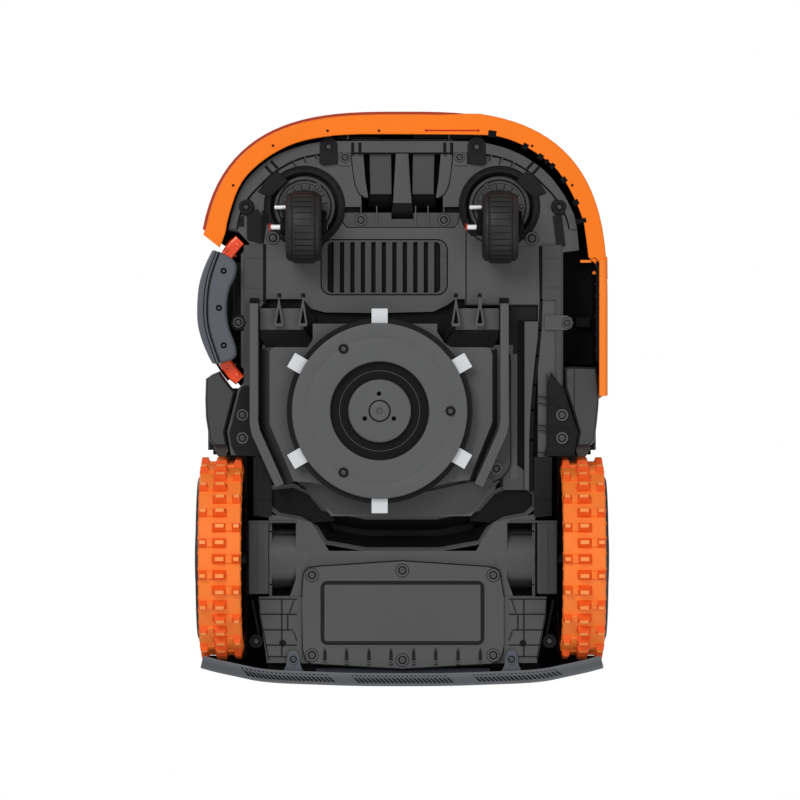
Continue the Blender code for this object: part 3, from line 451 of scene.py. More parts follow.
class Piece:
    """Shapes on one body with one finish, joined into one object."""

    def __init__(self, name, body, skin, slot=None, smooth=32):
        self.name, self.body, self.skin, self.slot, self.smooth = name, body, skin, slot, smooth
        self.bm = bmesh.new()

    def add(self, bm, ease=0.0, segments=2, place=None, angle=35):
        mesh = plain(eased(bm, ease, segments, angle))
        if place is not None:
            mesh.transform(place)
        self.bm.from_mesh(mesh)
        bpy.data.meshes.remove(mesh)
        return self

    def box(self, x, y, z, ease=0.35, turn=0.0, draft=0.0):
        """A box; turn in degrees about its own middle, draft narrows its lower end."""
        x, y = sorted(x), sorted(y)
        cx, cy, hx, hy = (x[0] + x[1]) / 2, (y[0] + y[1]) / 2, (x[1] - x[0]) / 2, (y[1] - y[0]) / 2
        square = ((-1, -1), (1, -1), (1, 1), (-1, 1))
        low = [(sx * (hx - draft), sy * (hy - draft)) for sx, sy in square]
        high = [(sx * hx, sy * hy) for sx, sy in square]
        place = Matrix.Translation((cx * MM, cy * MM, 0)) @ Matrix.Rotation(math.radians(turn), 4, "Z")
        return self.add(prism(low, z, high), ease, place=place)

    def bar(self, a, b, width, z, ease=0.35, draft=0.0):
        """A straight rib from a to b."""
        along = Vector(b) - Vector(a)
        cx, cy = (a[0] + b[0]) / 2, (a[1] + b[1]) / 2
        half = along.length / 2
        return self.box((cx - half, cx + half), (cy - width / 2, cy + width / 2), z, ease,
                        math.degrees(math.atan2(along.y, along.x)), draft)

    def plate(self, outline, z, ease=0.4, holes=(), top=None):
        bm = curve_plate(outline, z, holes) if holes else prism(outline, z, top)
        return self.add(bm, ease)

    def frame(self, outer, inner, z, ease=0.0):
        """A flat ring between two outlines of equal count."""
        rings = [[(x, y, h) for x, y in line] for line, h in ((outer, z[0]), (outer, z[1]), (inner, z[1]), (inner, z[0]), (outer, z[0]))]
        bm = skin_over(rings, caps=False)
        bmesh.ops.remove_doubles(bm, verts=bm.verts, dist=1e-6)
        return self.add(bm, ease)

    def turn(self, profile, at=(0, 0, 0), axis="Z", steps=48, ring=False, ease=0.0):
        place = Matrix.Translation(Vector(at) * MM) @ axis_matrix(axis)
        return self.add(lathe(profile, steps, ring), ease, place=place)

    def rod(self, at, along, r, axis="Z", steps=32, ease=0.3):
        e = min(ease, r * 0.4)
        return self.turn([(0, along[0]), (r - e, along[0]), (r, along[0] + e), (r, along[1] - e), (r - e, along[1]), (0, along[1])],
                         at, axis, steps)

    def hoop(self, at, r, z, steps=40, ease=0.3):
        """A ring between the two radii r, from z[0] to z[1]."""
        e = min(ease, (r[1] - r[0]) * 0.35)
        return self.turn([(r[0], z[0] + e), (r[0] + e, z[0]), (r[1] - e, z[0]), (r[1], z[0] + e), (r[1], z[1]), (r[0], z[1])],
                         (at[0], at[1], 0), "Z", steps, ring=True)

    def wire(self, points, r, sides=10):
        """A round bead along a line of (x, y, z) points."""
        rings = []
        for i, p in enumerate(points):
            a, b = Vector(points[max(0, i - 1)]), Vector(points[min(len(points) - 1, i + 1)])
            run = (b - a).normalized()
            side = run.cross(Vector((0, 0, 1)))
            side = side.normalized() if side.length > 1e-4 else Vector((1, 0, 0))
            up = side.cross(run)
            rings.append([Vector(p) + (side * math.cos(2 * math.pi * k / sides) + up * math.sin(2 * math.pi * k / sides)) * r
                          for k in range(sides)])
        return self.add(skin_over(rings))

    def done(self, *stands_for):
        mesh = plain(self.bm)
        mesh.shade_smooth()
        mesh.set_sharp_from_angle(angle=math.radians(self.smooth))
        made = bpy.data.objects.new(self.name, mesh)
        bpy.context.scene.collection.objects.link(made)
        mesh.materials.append(SKINS[self.skin])
        even(made)
        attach(made, self.body)
        if stands_for:
            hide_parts(*stands_for)
        return made


def settled(obj, name, body, skin, stands_for=(), smooth=32, ease=0.0, segments=2):
    """Turns a worked object into a finished piece."""
    if ease:
        edge = obj.modifiers.new("edge", "BEVEL")
        edge.width = ease * MM
        edge.segments = segments
        edge.limit_method = "ANGLE"
        edge.angle_limit = math.radians(38)
        edge.use_clamp_overlap = True
    baked(obj)
    obj.name = obj.data.name = name
    obj.data.materials.clear()
    obj.data.materials.append(SKINS[skin])
    obj.data.shade_smooth()
    obj.data.set_sharp_from_angle(angle=math.radians(smooth))
    even(obj)
    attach(obj, body)
    if stands_for:
        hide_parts(*stands_for)
    return obj


def even(obj):
    """Shading normals led by the large faces, so a flat stays flat beside its rounded edge."""
    step = obj.modifiers.new("even", "WEIGHTED_NORMAL")
    step.keep_sharp = True
    step.weight = 100


def dress(names, skin, ease=0.0, smooth=34):
    """Gives carried-over CAD nodes a finish and soft edges."""
    for name in names:
        node = NODES[name]
        node.data.materials.clear()
        node.data.materials.append(SKINS[skin])
        if ease:
            edge = node.modifiers.new("edge", "BEVEL")
            edge.width = ease * MM
            edge.segments = 2
            edge.limit_method = "ANGLE"
            edge.angle_limit = math.radians(40)
        node.data.shade_smooth()
        node.data.set_sharp_from_angle(angle=math.radians(smooth))
        even(node)


# ---------------------------------------------------------- the cover's form
def fullness(x, y):
    along = abs((y - WIDE_Y) / NOSE_REACH) ** 3 if y < WIDE_Y else ((y - WIDE_Y) / REAR_REACH) ** 12
    return abs(x / HALF_WIDTH) ** 3 + along


def crown(y):
    return ROOF_Z - ROOF_FALL * (y - 150) ** 2 if y < 150 else ROOF_Z


def dome(x, y):
    return SEAM_Z + (crown(y) - SEAM_Z) * max(0.0, 1 - fullness(x, y)) ** (1 / 3)


def side_x(y):
    along = abs((y - WIDE_Y) / NOSE_REACH) ** 3 if y < WIDE_Y else ((y - WIDE_Y) / REAR_REACH) ** 12
    return HALF_WIDTH * max(0.0, 1 - along) ** (1 / 3)


def outline_half(last_y, count=26):
    points = []
    for k in range(count + 1):
        a = math.radians(90 * (k / count) ** 1.15)
        points.append((HALF_WIDTH * math.sin(a) ** (2 / 3), WIDE_Y - NOSE_REACH * max(0.0, math.cos(a)) ** (2 / 3)))
    if last_y > WIDE_Y:
        points.append((HALF_WIDTH, (WIDE_Y + last_y) / 2))
        points.append((HALF_WIDTH, last_y))
    return points


def guard_point(radius, degrees):
    a = math.radians(degrees)
    return GUARD_AT[0] - radius * math.cos(a), GUARD_AT[1] + radius * math.sin(a)


# ------------------------------------------------------- the cover: hood, skirt
outer = outline_half(-5)
fractions = fractions_of(outer)
inner = at_fraction([(0, -144), (60, -137), (90, -108), (96, -60), (103, -2), (120, 28), (165, 48)], fractions)
STEPS = (0, 0.004, 0.012, 0.025, 0.045, 0.075, 0.115, 0.17, 0.25, 0.35, 0.47, 0.61, 0.8, 1)
SCALLOP = [guard_point(117, a) for a in range(-37, 60, 2)] + [guard_point(210, a) for a in (58, 25, 0, -37)]


def shell_rows(steps, drop=0.0, shrink=1.0):
    rows = []
    for f in steps:
        half = [tuple(o + (i - o) * f for o, i in zip(a, b)) for a, b in zip(outer, inner)]
        full = [(-x, y) for x, y in reversed(half[1:])] + half
        rows.append([(x * shrink, WIDE_Y + (y - WIDE_Y) * shrink, dome(x, y) - drop) for x, y in full])
    return rows


hood = cut(baked(sheet(shell_rows(STEPS), WALL)), prism(SCALLOP, (40, 260)))
settled(hood, "hood_shell", "cover", "orange_hood", ["hood"], smooth=40)
hood.data.materials.append(SKINS["ink"])
for face in hood.data.polygons:
    away = face.center - Vector((0, min(0.25, max(-0.12, face.center.y)) * 0.6, 0.09))
    if face.normal.dot(away) < 0 and face.center.z > 0.1045:
        face.material_index = 1

# painted shade: a dark red-brown sheet under the hood's edge where it overhangs the skirt, standing in for the shaded
# side wall
arc = [(-x, y) for x, y in reversed(outline_half(-158)[1:-1])] + outline_half(-158)[:-1]
lip = Piece("hood_lip_painted_shade", "cover", "orange_lip_painted_shade", "orange_hood")
run = [p for p in arc if p[0] < 88 and not (p[0] < 0 and p[1] > -180)]


def moved_in(line, distances):
    found = []
    for i, p in enumerate(line):
        a, b = Vector(line[max(0, i - 1)]), Vector(line[min(len(line) - 1, i + 1)])
        n = Vector((-(b - a).y, (b - a).x)).normalized()
        found.append((p[0] + n.x * distances[i], p[1] + n.y * distances[i]))
    return found


near, far = moved_in(run, [0.25] * len(run)), moved_in(run, [7.5] * len(run))
lip.plate(near + far[::-1], (103.45, 103.95), 0)
lip.done()

# front skirt: a rounded lip whose flange faces the ground
line = [p for p in arc if not (p[0] < 0 and p[1] > -187)]
line = [(-221.4, -182.7)] + line + [(228.2, -158.0)]
inset = [0.25 if p[0] > 84 else 5.0 if p[0] < 50 else 5.0 - 4.75 * (p[0] - 50) / 34 for p in line]
inset[0], inset[-1] = 0.0, 0.4
skirt_line = moved_in(line, inset)
skirt_line[0] = (-221.4, -182.7)
FLANGE = [(-202.9, -168), (-196.2, -183.6), (-194.5, -197), (-188.8, -216), (-183.5, -231.6), (-173.9, -247.9), (-154.5, -265.3), (-135.5, -277.3), (-114.2, -286),
          (-92.5, -290.5), (-63.6, -294.1), (0, -294.2), (91.4, -293.6), (108.2, -292.2), (134.2, -282.9), (153.2, -270.8), (170.8, -257.7), (183.8, -238.5),
          (193.2, -219.8), (201.4, -200.7), (203.8, -187), (207.4, -156.9)]
edge = at_fraction(smooth_line(FLANGE, 1), fractions_of(skirt_line))
edge[0], edge[-1] = FLANGE[0], FLANGE[-1]
sections = []
for o, e in zip(map(Vector, skirt_line), map(Vector, edge)):
    across = e - o
    n = across.normalized()
    w = across.length
    marks = [(0, 103.4), (0, 92), (0, 80), (0, 70), (0.05, 67), (0.5, 65.2), (1.5, 64.3), (3.0, 64.0), (w * 0.55, 64.15), (w - 2.2, 64.0), (w - 0.8, 64.25),
             (w, 65.1), (w, 66.6), (w - 0.6, 67.2), (7, 67.4), (4.2, 70), (3.1, 80), (3.0, 103.4)]
    sections.append([(o.x + n.x * d, o.y + n.y * d, z) for d, z in marks])
skirt = bpy.data.objects.new("skirt", plain(skin_over(sections)))
bpy.context.scene.collection.objects.link(skirt)
notches = [((100.3, -294.5), 9, 7.4, 8), ((137.1, -280.6), 6.2, 6.6, 30), ((153.9, -269), 6.2, 6.4, 36), ((161, -263.7), 3.6, 5.2, 38), ((167.2, -258.8), 5.0, 6.4, 42),
           ((180, -243.2), 6.2, 6.4, 55), ((193.3, -218.2), 6.2, 6.4, 64), ((198.9, -197.6), 5.2, 12, 78)]
holes = [(-187.8, -237.2), (-143.4, -281.4), (-82.7, -297.9), (-25.6, -297.9), (144.7, -281.1), (189.3, -237.4)]
settled(skirt, "skirt_shell", "cover", "orange_hood", ["front_skirt"], smooth=40)
# painted shade: dark red discs stand in for the shade inside the small holes in the flange
dots = Piece("skirt_hole_shade_dots", "cover", "red_dot_hole_shade", "orange_hood")
for x, y in holes:
    dots.rod((x, y, 0), (63.6, 67), 1.55, steps=20, ease=0.3)
dots.done()
dots = Piece("skirt_line", "cover", "red_line", "orange_hood")
dots.box((26.3, 85.2), (-299, -297.5), (63.5, 65.3), 0.1)
for x in (26.8, 84.7):
    dots.rod((x, -298.3, 0), (63.3, 65), 1.5, steps=18, ease=0.2)
dots.done()
# painted shade: blue-black boxes stand in for the shade seen through the notches along the rim's inner edge
notch_shade = Piece("skirt_notch_shade", "cover", "ink", "slate_dark")
for (x, y), w, d, turn in notches:
    notch_shade.box((x - w / 2, x + w / 2), (y - d / 2, y + d / 2), (63.5, 67), 0.3, turn=turn)
notch_shade.done()

# side strip on +X, with its dark lining
sections = []
for k in range(31):
    y = -154 + 151 * k / 30
    x = side_x(y) - 0.2
    low = 60 + (0 if y < -14 else 0)
    sections.append([(x - 0.3, y, 103.4), (x, y, 98), (x, y, 66), (x - 0.8, y, 62.4), (x - 2.6, y, 60.6), (x - 5, y, 60), (220.2, y, 60), (219.3, y, 60.8),
                     (219.2, y, 64), (221.5, y, 65), (225.6, y, 67), (226.2, y, 103.4)])
strip = bpy.data.objects.new("strip", plain(skin_over(sections)))
bpy.context.scene.collection.objects.link(strip)
cut(strip, prism([(216, 2), (216, -0.5), (232, -4.4), (232, 2)], (50, 110)))
settled(strip, "strip_shell", "cover", "orange_strip", ["side_strip"], smooth=40)
tabs = Piece("strip_tabs", "cover", "orange_strip", "orange_strip")
tabs.box((198.5, 210.7), (-154.4, -151.5), (70, 73), 0.4)
tabs.rod((*(214.1, -140.2), 0), (74, 78), 2.0, steps=16)
tabs.rod((*(214.6, -17.5), 0), (74, 78), 1.8, steps=16)
tabs.box((209.6, 220.8), (-155.8, -153.5), (72, 75), 0.4)
tabs.done()
lining = Piece("strip_lining", "cover", "slate_dark", "slate_dark")
lining.box((216.8, 219.4), (-156.9, -46.5), (66, 100), 0.5)
for y in (266, 284, 296, 316, 334, 350):
    lining.box((215, 217.4), (y * 1.115 - 444.8, y * 1.115 - 443.4), (70, 96), 0.3)
lining.done()

# side guard on -X
GUARD_OUT = smooth_line([(-210.7, -165.8), (-217.4, -152.4), (-223.3, -136.8), (-226.7, -121.2), (-228, -98.9), (-227.2, -82.2), (-223.3, -66.6), (-217, -51), (-210.7, -38.7)], 1)
GUARD_IN = smooth_line([(-200.7, -39.2), (-187.3, -43.7), (-183.4, -49.8), (-185.6, -61.5), (-193.5, -81.1), (-195.1, -101.1), (-192.9, -121.2), (-185.1, -135.7), (-183.4, -148), (-187.3, -155.2), (-198.5, -161.3)], 1)
guard = Piece("guard_shell", "cover", "slate", "slate")
guard.plate(GUARD_OUT + GUARD_IN, (57.4, 84), 2.4)
RIDGE = smooth_line([(-205.7, -163), (-211.2, -149.1), (-216.3, -133.5), (-219, -115.6), (-219.7, -98.9), (-218.8, -82.2), (-215.3, -67.7), (-210.1, -52.6), (-205.7, -40.4)], 1)
FACE = smooth_line([(-201.3, -160.8), (-206.7, -146.8), (-211.2, -131.2), (-213.6, -114.5), (-214.3, -98.9), (-213.4, -83.3), (-210.3, -69.9), (-205.2, -54.3), (-201.3, -42)], 1)
guard.plate(FACE + offset(GUARD_OUT + GUARD_IN, 1.8)[len(GUARD_OUT):], (54, 58.5), 1.5)
guard.plate(RIDGE + [(x + 1.9, y) for x, y in reversed(RIDGE)], (55.6, 58.5), 0.6)
guard.done("side_guard")
# painted shade: black strips on both sides of the ridge stand in for the shade in its two grooves
seam = Piece("guard_groove_painted_shade", "cover", "black", "slate_dark")
seam.plate([(x + 2.2, y) for x, y in RIDGE] + [(x + 4.0, y) for x, y in reversed(RIDGE)], (57.2, 58.4), 0)
seam.plate([(x - 1.5, y) for x, y in RIDGE] + [(x - 0.3, y) for x, y in reversed(RIDGE)], (57.25, 58.4), 0)
seam.done()

sections = []
for k in range(40):
    a = -39 + 78 * k / 39
    mid = 109.75
    (xo, yo) = guard_point(116, a)
    top = dome(xo, yo) - 12
    ring = []
    for r, z in ((105, 84.5), (114.4, 84.5), (115.6, 85.2), (116, 86.6), (116, top - 2), (115, top - 0.4), (113.6, top), (105.6, top), (104.2, top - 0.5), (103.5, top - 2), (103.5, 86.6), (103.9, 85.2)):
        x, y = guard_point(r, a)
        ring.append((x, y, z))
    sections.append(ring)
ledge = Piece("guard_ledge", "cover", "ink", "slate_dark")
sections = []
for k in range(9):
    a = 29 + 11.5 * k / 8
    sections.append([(*guard_point(118.6, a), 105), (*guard_point(121.6, a), 105), (*guard_point(121.6, a), 108), (*guard_point(118.6, a), 108)])
ledge.add(skin_over(sections), 0.2)
ledge.done()
band = Piece("guard_band", "cover", "orange_gloss", "orange_gloss", smooth=50)
band.add(skin_over(sections))
for a in range(-36, 37, 6):
    for r, half in ((103.2, 0.8),):
        x, y = guard_point(r, a)
        band.box((x - half, x + half), (y - half, y + half), (88, 128), 0.3, turn=-a)
for way in (-1, 1):
    sections = []
    for k in range(8):
        a = way * (31 + 14 * k / 7)
        out = 118.6 if k < 6 else 117.6
        ring = []
        for r, z in ((104, 79), (106, 77.2), (out - 3, 77.2), (out - 0.8, 78.4), (out, 81), (out, 104), (104, 104)):
            x, y = guard_point(r, a)
            ring.append((x, y, z))
        sections.append(ring)
    band.add(skin_over(sections), 0.8)
    for r, a, rr in ((109, 42, 2.6), (114, 36, 2.0)):
        x, y = guard_point(r, way * a)
        band.rod((x, y, 0), (75.9, 78), rr, steps=20, ease=0.6)
band.done("guard_carrier")
# the blue-black wells round the screw heads are painted shade
for skin_name, part in (("slate", "rings"), ("ink", "wells"), ("slate", "heads")):
    bolts = Piece("guard_screw_" + part, "cover", skin_name, "slate")
    for x, y in ((-198, -141.9), (-203.3, -100.8), (-197.9, -59.2)):
        if part == "rings":
            bolts.hoop((x, y), (3.4, 5.2), (53.9, 55), 32, 0.4)
        elif part == "wells":
            bolts.rod((x, y, 0), (53.95, 54.5), 3.6, steps=28, ease=0.05)
        else:
            bolts.rod((x, y, 0), (53.9, 54.4), 1.5, steps=6, ease=0.2)
    bolts.done()

for sx, word in ((-1, "right"), (1, "left")):
    front = min(skirt_line, key=lambda p: abs(p[0] - sx * 25))[1]
    pad = Piece("contact_" + word, "cover", "brass", "brass")
    pad.box((sx * 20.4, sx * 29.6), (front - 0.35, front + 1.2), (74, 97), 0.3)
    pad.done("charge_contact_" + word)
dress(["cover_frame"], "ink", 0.5)
dress(["float_carriage"], "charcoal_dark", 0.6)

# ---------------------------------------------------------------- the chassis
right_half = [(0, -287.3), (75.8, -287.3), (97, -284.5), (117.1, -279), (136, -270.6), (155, -257.8), (167.2, -246.1), (176.2, -233.8),
              (182.9, -223.8), (188.4, -212.6), (192.9, -202.6), (195.1, -190.3), (197.4, -165.8), (179.5, -163.6), (179.5, -11.9), (195.1, 37.1),
              (190.7, 62.8), (162.8, 63.9), (162.8, 130.8), (148.3, 131.9), (148.3, 221.1), (160.6, 223.3), (150.5, 294.7), (0, 295.8)]
left_front = [(-193.5, -189.2), (-191.2, -200.4), (-186.2, -218.2), (-180.6, -232.7), (-171.7, -246.6), (-155, -262.2), (-137.1, -273.4), (-117.1, -280.6), (-97, -285.7), (-75.8, -287.3)]
left_rear = [(-x, y) for x, y in reversed(right_half[15:23])]
left_notch = [(-182.5, -11.5), (-170, -25), (-179.5, -36.5), (-179.5, -161), (-170, -173), (-183, -187)]
TUB = right_half + left_rear + left_notch + left_front
TROUGH = [(-151.6, 98.5), (-110.4, 94), (-79.2, 130.8), (76.9, 130.8), (109.3, 94), (149.4, 98.5), (149.4, 128.6), (102.6, 137.5), (82.5, 169.8), (-81.4, 169.8), (-101.5, 137.5), (-149.4, 128.6)]
DOCK = [(-45.7, -272.8), (45.7, -272.8), (45.7, -214), (65.8, -214), (65.8, -207.5), (63.3, -195.9), (58, -190.3), (-61.3, -190.3), (-66.6, -195.9), (-66.6, -207.5), (-64.7, -214), (-45.7, -214)]
VENT = rounded((-90.9, 51.3), (-178.1, -115.1), 12)
BELLY = [(-151.6, -111.2), (-110.4, -111.2), (-101.5, -100.6), (-85.9, -96.4), (-25.6, -95.6), (34.6, -97.2), (50.2, -104.5), (59.1, -111.2), (70.2, -111.2), (70.2, -105), (151.6, -105),
         (151.6, 101.8), (112.6, 101.8), (97, 95.1), (-113.7, 95.1), (-156.1, 97.3), (-159.4, 90.6), (-159.4, -98.9)]
WINDOW_R = [(-148.6, 138.6), (-118.2, 138.6), (-118.2, 201), (-124.9, 220), (-148.6, 220)]
WINDOW_L = [(-x - 1.0, y) for x, y in WINDOW_R]
PATCH_R = [(-142.7, -256.7), (-127.7, -242.7), (-147.2, -224.9), (-160, -230.5)]
PATCH_L = [(142.7, -256.7), (127.7, -242.7), (147.2, -223.8), (160.6, -229.4)]

walls = Piece("tub_walls", "chassis", "charcoal", "charcoal")
walls.plate(TUB, (84, 150), 0, holes=[offset(TUB, WALL)])
walls.done("chassis_tub")
floor = bpy.data.objects.new("floor", plain(prism(TUB, (FLOOR_Z, 84))))
bpy.context.scene.collection.objects.link(floor)
cut(floor, *[prism(line, (70, 95)) for line in (circle(CASTER_X, CASTER_Y, 42.2, 64), circle(-CASTER_X, CASTER_Y, 42.2, 64), DOCK, VENT, BELLY,
                                                TROUGH, WINDOW_R, WINDOW_L)])
settled(floor, "tub_floor", "chassis", "charcoal")

# recessed floors in the darker charcoal: partly the plastic's tone, partly painted shade of the recess
low = Piece("chassis_low", "chassis", "charcoal_low", "charcoal_dark")      # recessed floors
# painted shade: black sheets behind openings, black boxes in gaps and black bars along seams
dark = Piece("chassis_black_painted_shade", "chassis", "black", "charcoal_dark")          # deep gaps and seams
rib = Piece("chassis_ribs", "chassis", "charcoal", "charcoal")              # raised details
# painted shade: these plates take the dark charcoal for areas that sit deeper in shadow
deep = Piece("chassis_deep_painted_shade", "chassis", "charcoal_dark", "charcoal_dark")   # darker plates
boss = Piece("screw_bosses", "chassis", "charcoal", "charcoal")
head = Piece("screw_heads", "chassis", "screw", "steel", smooth=50)


def screw(at, z, r=6.7, ring=None, well=None, top=None, plain_ring=False):
    """A screw in its boss, facing the ground at height z; the black ring round the boss and the dark well round the
    head are painted shade.
    """
    x, y = at
    ring, well, top = ring or boss, well or dark, top or head
    if not plain_ring:
        ring.hoop((x, y), (r * 0.68, r), (z - 1.2, z + 0.6), 36, 0.45)
        if ring is boss:
            # painted shade: a black ring round the boss, then a dark well round the head
            dark.hoop((x, y), (r * 0.98, r * 1.09), (z - 0.15, z + 0.3), 36, 0)
    well.rod((x, y, 0), (z - 0.3, z + 0.4), r * 0.7, steps=28, ease=0.05)
    s = r * 0.47
    top.turn([(0, z - 0.35), (s * 0.42, z - 0.35), (s * 0.46, z - 1.0), (s * 0.78, z - 1.15), (s, z - 0.7), (s, z), (0, z)], (x, y, 0), "Z", 24)
    top.hoop((x, y), (s * 0.5, s * 0.62), (z - 1.25, z - 0.9), 6, 0.05)


# painted shade: a thin black bar along a seam stands in for the shade in its groove
def seam_line(points, width=0.9, z=FLOOR_Z, piece=None):
    for a, b in zip(points, points[1:]):
        grow = (Vector(b) - Vector(a)).normalized() * width * 0.3
        (piece or dark).bar((a[0] - grow.x, a[1] - grow.y), (b[0] + grow.x, b[1] + grow.y), width, (z - 0.22, z + 0.2), 0)


# front band: the lip behind the skirt, its beam, tabs and screw plates
BAND_OUT = smooth_line(left_front, 1) + smooth_line([(0, -287.3), (75.8, -287.3), (97, -284.5), (117.1, -279), (136, -270.6), (155, -257.8), (167.2, -246.1), (176.2, -233.8), (182.9, -223.8), (188.4, -212.6), (192.9, -202.6), (195.1, -189.2)], 1)
BAND_IN = smooth_line([(187.3, -189.2), (184.5, -200.4), (179.5, -212.6), (170.6, -226), (158.3, -238.9), (147.6, -249.4), (137.1, -257.2), (117.7, -267.7), (94.2, -273.1), (75.8, -274.4)], 1)
BAND_IN += smooth_line([(-75.8, -274.4), (-94.2, -273.1), (-117.7, -267.7), (-137.1, -257.2), (-147.6, -249.4), (-158.3, -238.9), (-170.6, -226), (-178.4, -212.6), (-182.9, -200.4), (-184.5, -189.2)], 1)
rib.plate(BAND_OUT + BAND_IN, (76, FLOOR_Z + 1), 0.8)
dark.plate(BAND_IN + [(x * 0.992, -150 + (y + 150) * 0.985) for x, y in reversed(BAND_IN)], (FLOOR_Z - 0.35, FLOOR_Z + 0.3), 0)
for side, x0, x1 in ((-1, -92, -71.4), (1, 72.8, 93.7)):
    cx, r = (x0 + x1) / 2, (x1 - x0) / 2
    top = -291.8 + r
    arch = [(cx + r * math.cos(math.radians(a)), top + r * math.sin(math.radians(a))) for a in range(180, 361, 15)]
    deep.plate(arch + [(x1, -262.4), (cx + r * 0.5 * side, -259.9), (x0 if side > 0 else x0, -262.4)], (75.5, FLOOR_Z + 0.5), 0.9)
    deep.hoop((cx, -280.6), (4.2, 7.4), (74.9, 76), 36, 0.4)
    screw((cx, -280.6), 75.6, 5.4, deep)
for x0, x1, at in ((-71.6, -56.6, (-63.3, -269)), (56.9, 72.5, (64.4, -269.3))):
    rib.plate(rounded((x0, x1), (-277.3, -259.9), 1.5, 2), (77.6, FLOOR_Z + 0.5), 0.6)
    screw(at, 77.7, 5.6)
for x0, x1 in ((351.2, 361.5), (443.2, 453.2)):
    a, b = (x0 - 402) * 1.115, (x1 - 402) * 1.115
    dark.box((a, a + 3.4), (-285.3, -271.7), (75.6, 77), 0.1)
    dark.box((b - 3.4, b), (-285.3, -271.7), (75.6, 77), 0.1)
for at, turn in (((-145.4, -257.9), 42), ((146.1, -257.2), -42)):
    place = Matrix.Translation((at[0] * MM, at[1] * MM, 0)) @ Matrix.Rotation(math.radians(-turn), 4, "Z")
    for dx in (-4.2, 4.2):
        dark.add(prism([(dx - 1.5, -5.5), (dx + 1.5, -5.5), (dx + 1.5, 5.5), (dx - 1.5, 5.5)], (75.6, 77)), 0.1, place=place)
for pts in (((295,166), (290.5,157)), ((305.5,162.6), (302,153.5)), ((316,158.8), (314,151.5)), ((489,161), (491,151.5)), ((499,164), (502.5,153.5)), ((510,168), (514.5,158.5))):
    (ax, ay), (bx, by) = pts
    a, b = ((ax - 402) * 1.115, (ay - 398.7) * 1.115), ((bx - 402) * 1.115, (by - 398.7) * 1.115)
    seam_line([a, b], 1.2, FLOOR_Z - 0.1)
    rib.bar((a[0] + 1.6, a[1]), (b[0] + 1.6, b[1]), 1.4, (78.6, 80.4), 0.3)
# painted shade: black boxes in the slots of the gap before the beam
dark.box((-71.8, -24.5), (-292, -289.3), (79, 96), 0.2)
dark.box((12.3, 89.2), (-294.5, -290), (79, 96), 0.2)
for x in (-60.2, 52.4):
    rib.box((x - 0.8, x + 0.8), (-294.2, -289.3), (77.5, 82), 0.3)
seam_line([(-56.9, -273.7), (56.9, -273.7)], 1.4, FLOOR_Z - 0.2)
deep.box((-55.8, 56.9), (-289.1, -287.6), (75.6, 77), 0.2)

# patches beside the casters
deep.plate(PATCH_R, (78.4, FLOOR_Z + 0.4), 0.6)
deep.plate(PATCH_L, (78.4, FLOOR_Z + 0.4), 0.6)
seam_line(PATCH_R + PATCH_R[:1], 1.1, FLOOR_Z - 0.1)
seam_line(PATCH_L + PATCH_L[:1], 1.1, FLOOR_Z - 0.1)
deep.plate([(-172.8, -207.1), (-160.6, -211.5), (-156.1, -203.7), (-156.1, -173), (-172.8, -177)], (77.6, FLOOR_Z + 0.4), 0.7)
dark.plate([(-156.1, -210.4), (-149.4, -205.9), (-154.4, -173.6), (-156.1, -173.6)], (78.6, FLOOR_Z + 0.3), 0.1)
deep.plate([(167.9, -203.7), (177.8, -205.9), (182.2, -170.3), (172.3, -169.1)], (78.0, FLOOR_Z + 0.4), 0.7)
for at in ((-173.9, -213.7), (175.4, -213.7)):
    deep.rod((*at, 0), (76.4, FLOOR_Z + 0.5), 9.2, steps=36, ease=0.8)
    deep.hoop(at, (4.6, 8.2), (75.7, 77), 36, 0.4)
    screw(at, 76.3, 5.2, deep)
deep.box((-190.1, -176.2), (-203.7, -192), (78.4, FLOOR_Z + 1), 0.6)
dark.box((-190.7, -178.4), (-200.4, -198.1), (77.9, 78.6), 0.1)
screw((-143.8, -179.2), FLOOR_Z, 7.2)
screw((144.7, -178.8), FLOOR_Z, 7.2)

# caster bays
for sx in (-1, 1):
    c = (sx * CASTER_X, CASTER_Y)
    deep.hoop(c, (42.3, 44.2), (78.9, FLOOR_Z + 0.6), 64, 0.5)
    dark.hoop(c, (44.3, 45.6), (79.7, FLOOR_Z + 0.2), 64, 0.1)
    deep.hoop(c, (37.6, 39.2), (81.4, 92), 64, 0.4)
dress(["left_caster_socket", "right_caster_socket"], "charcoal_dark", 0.4)

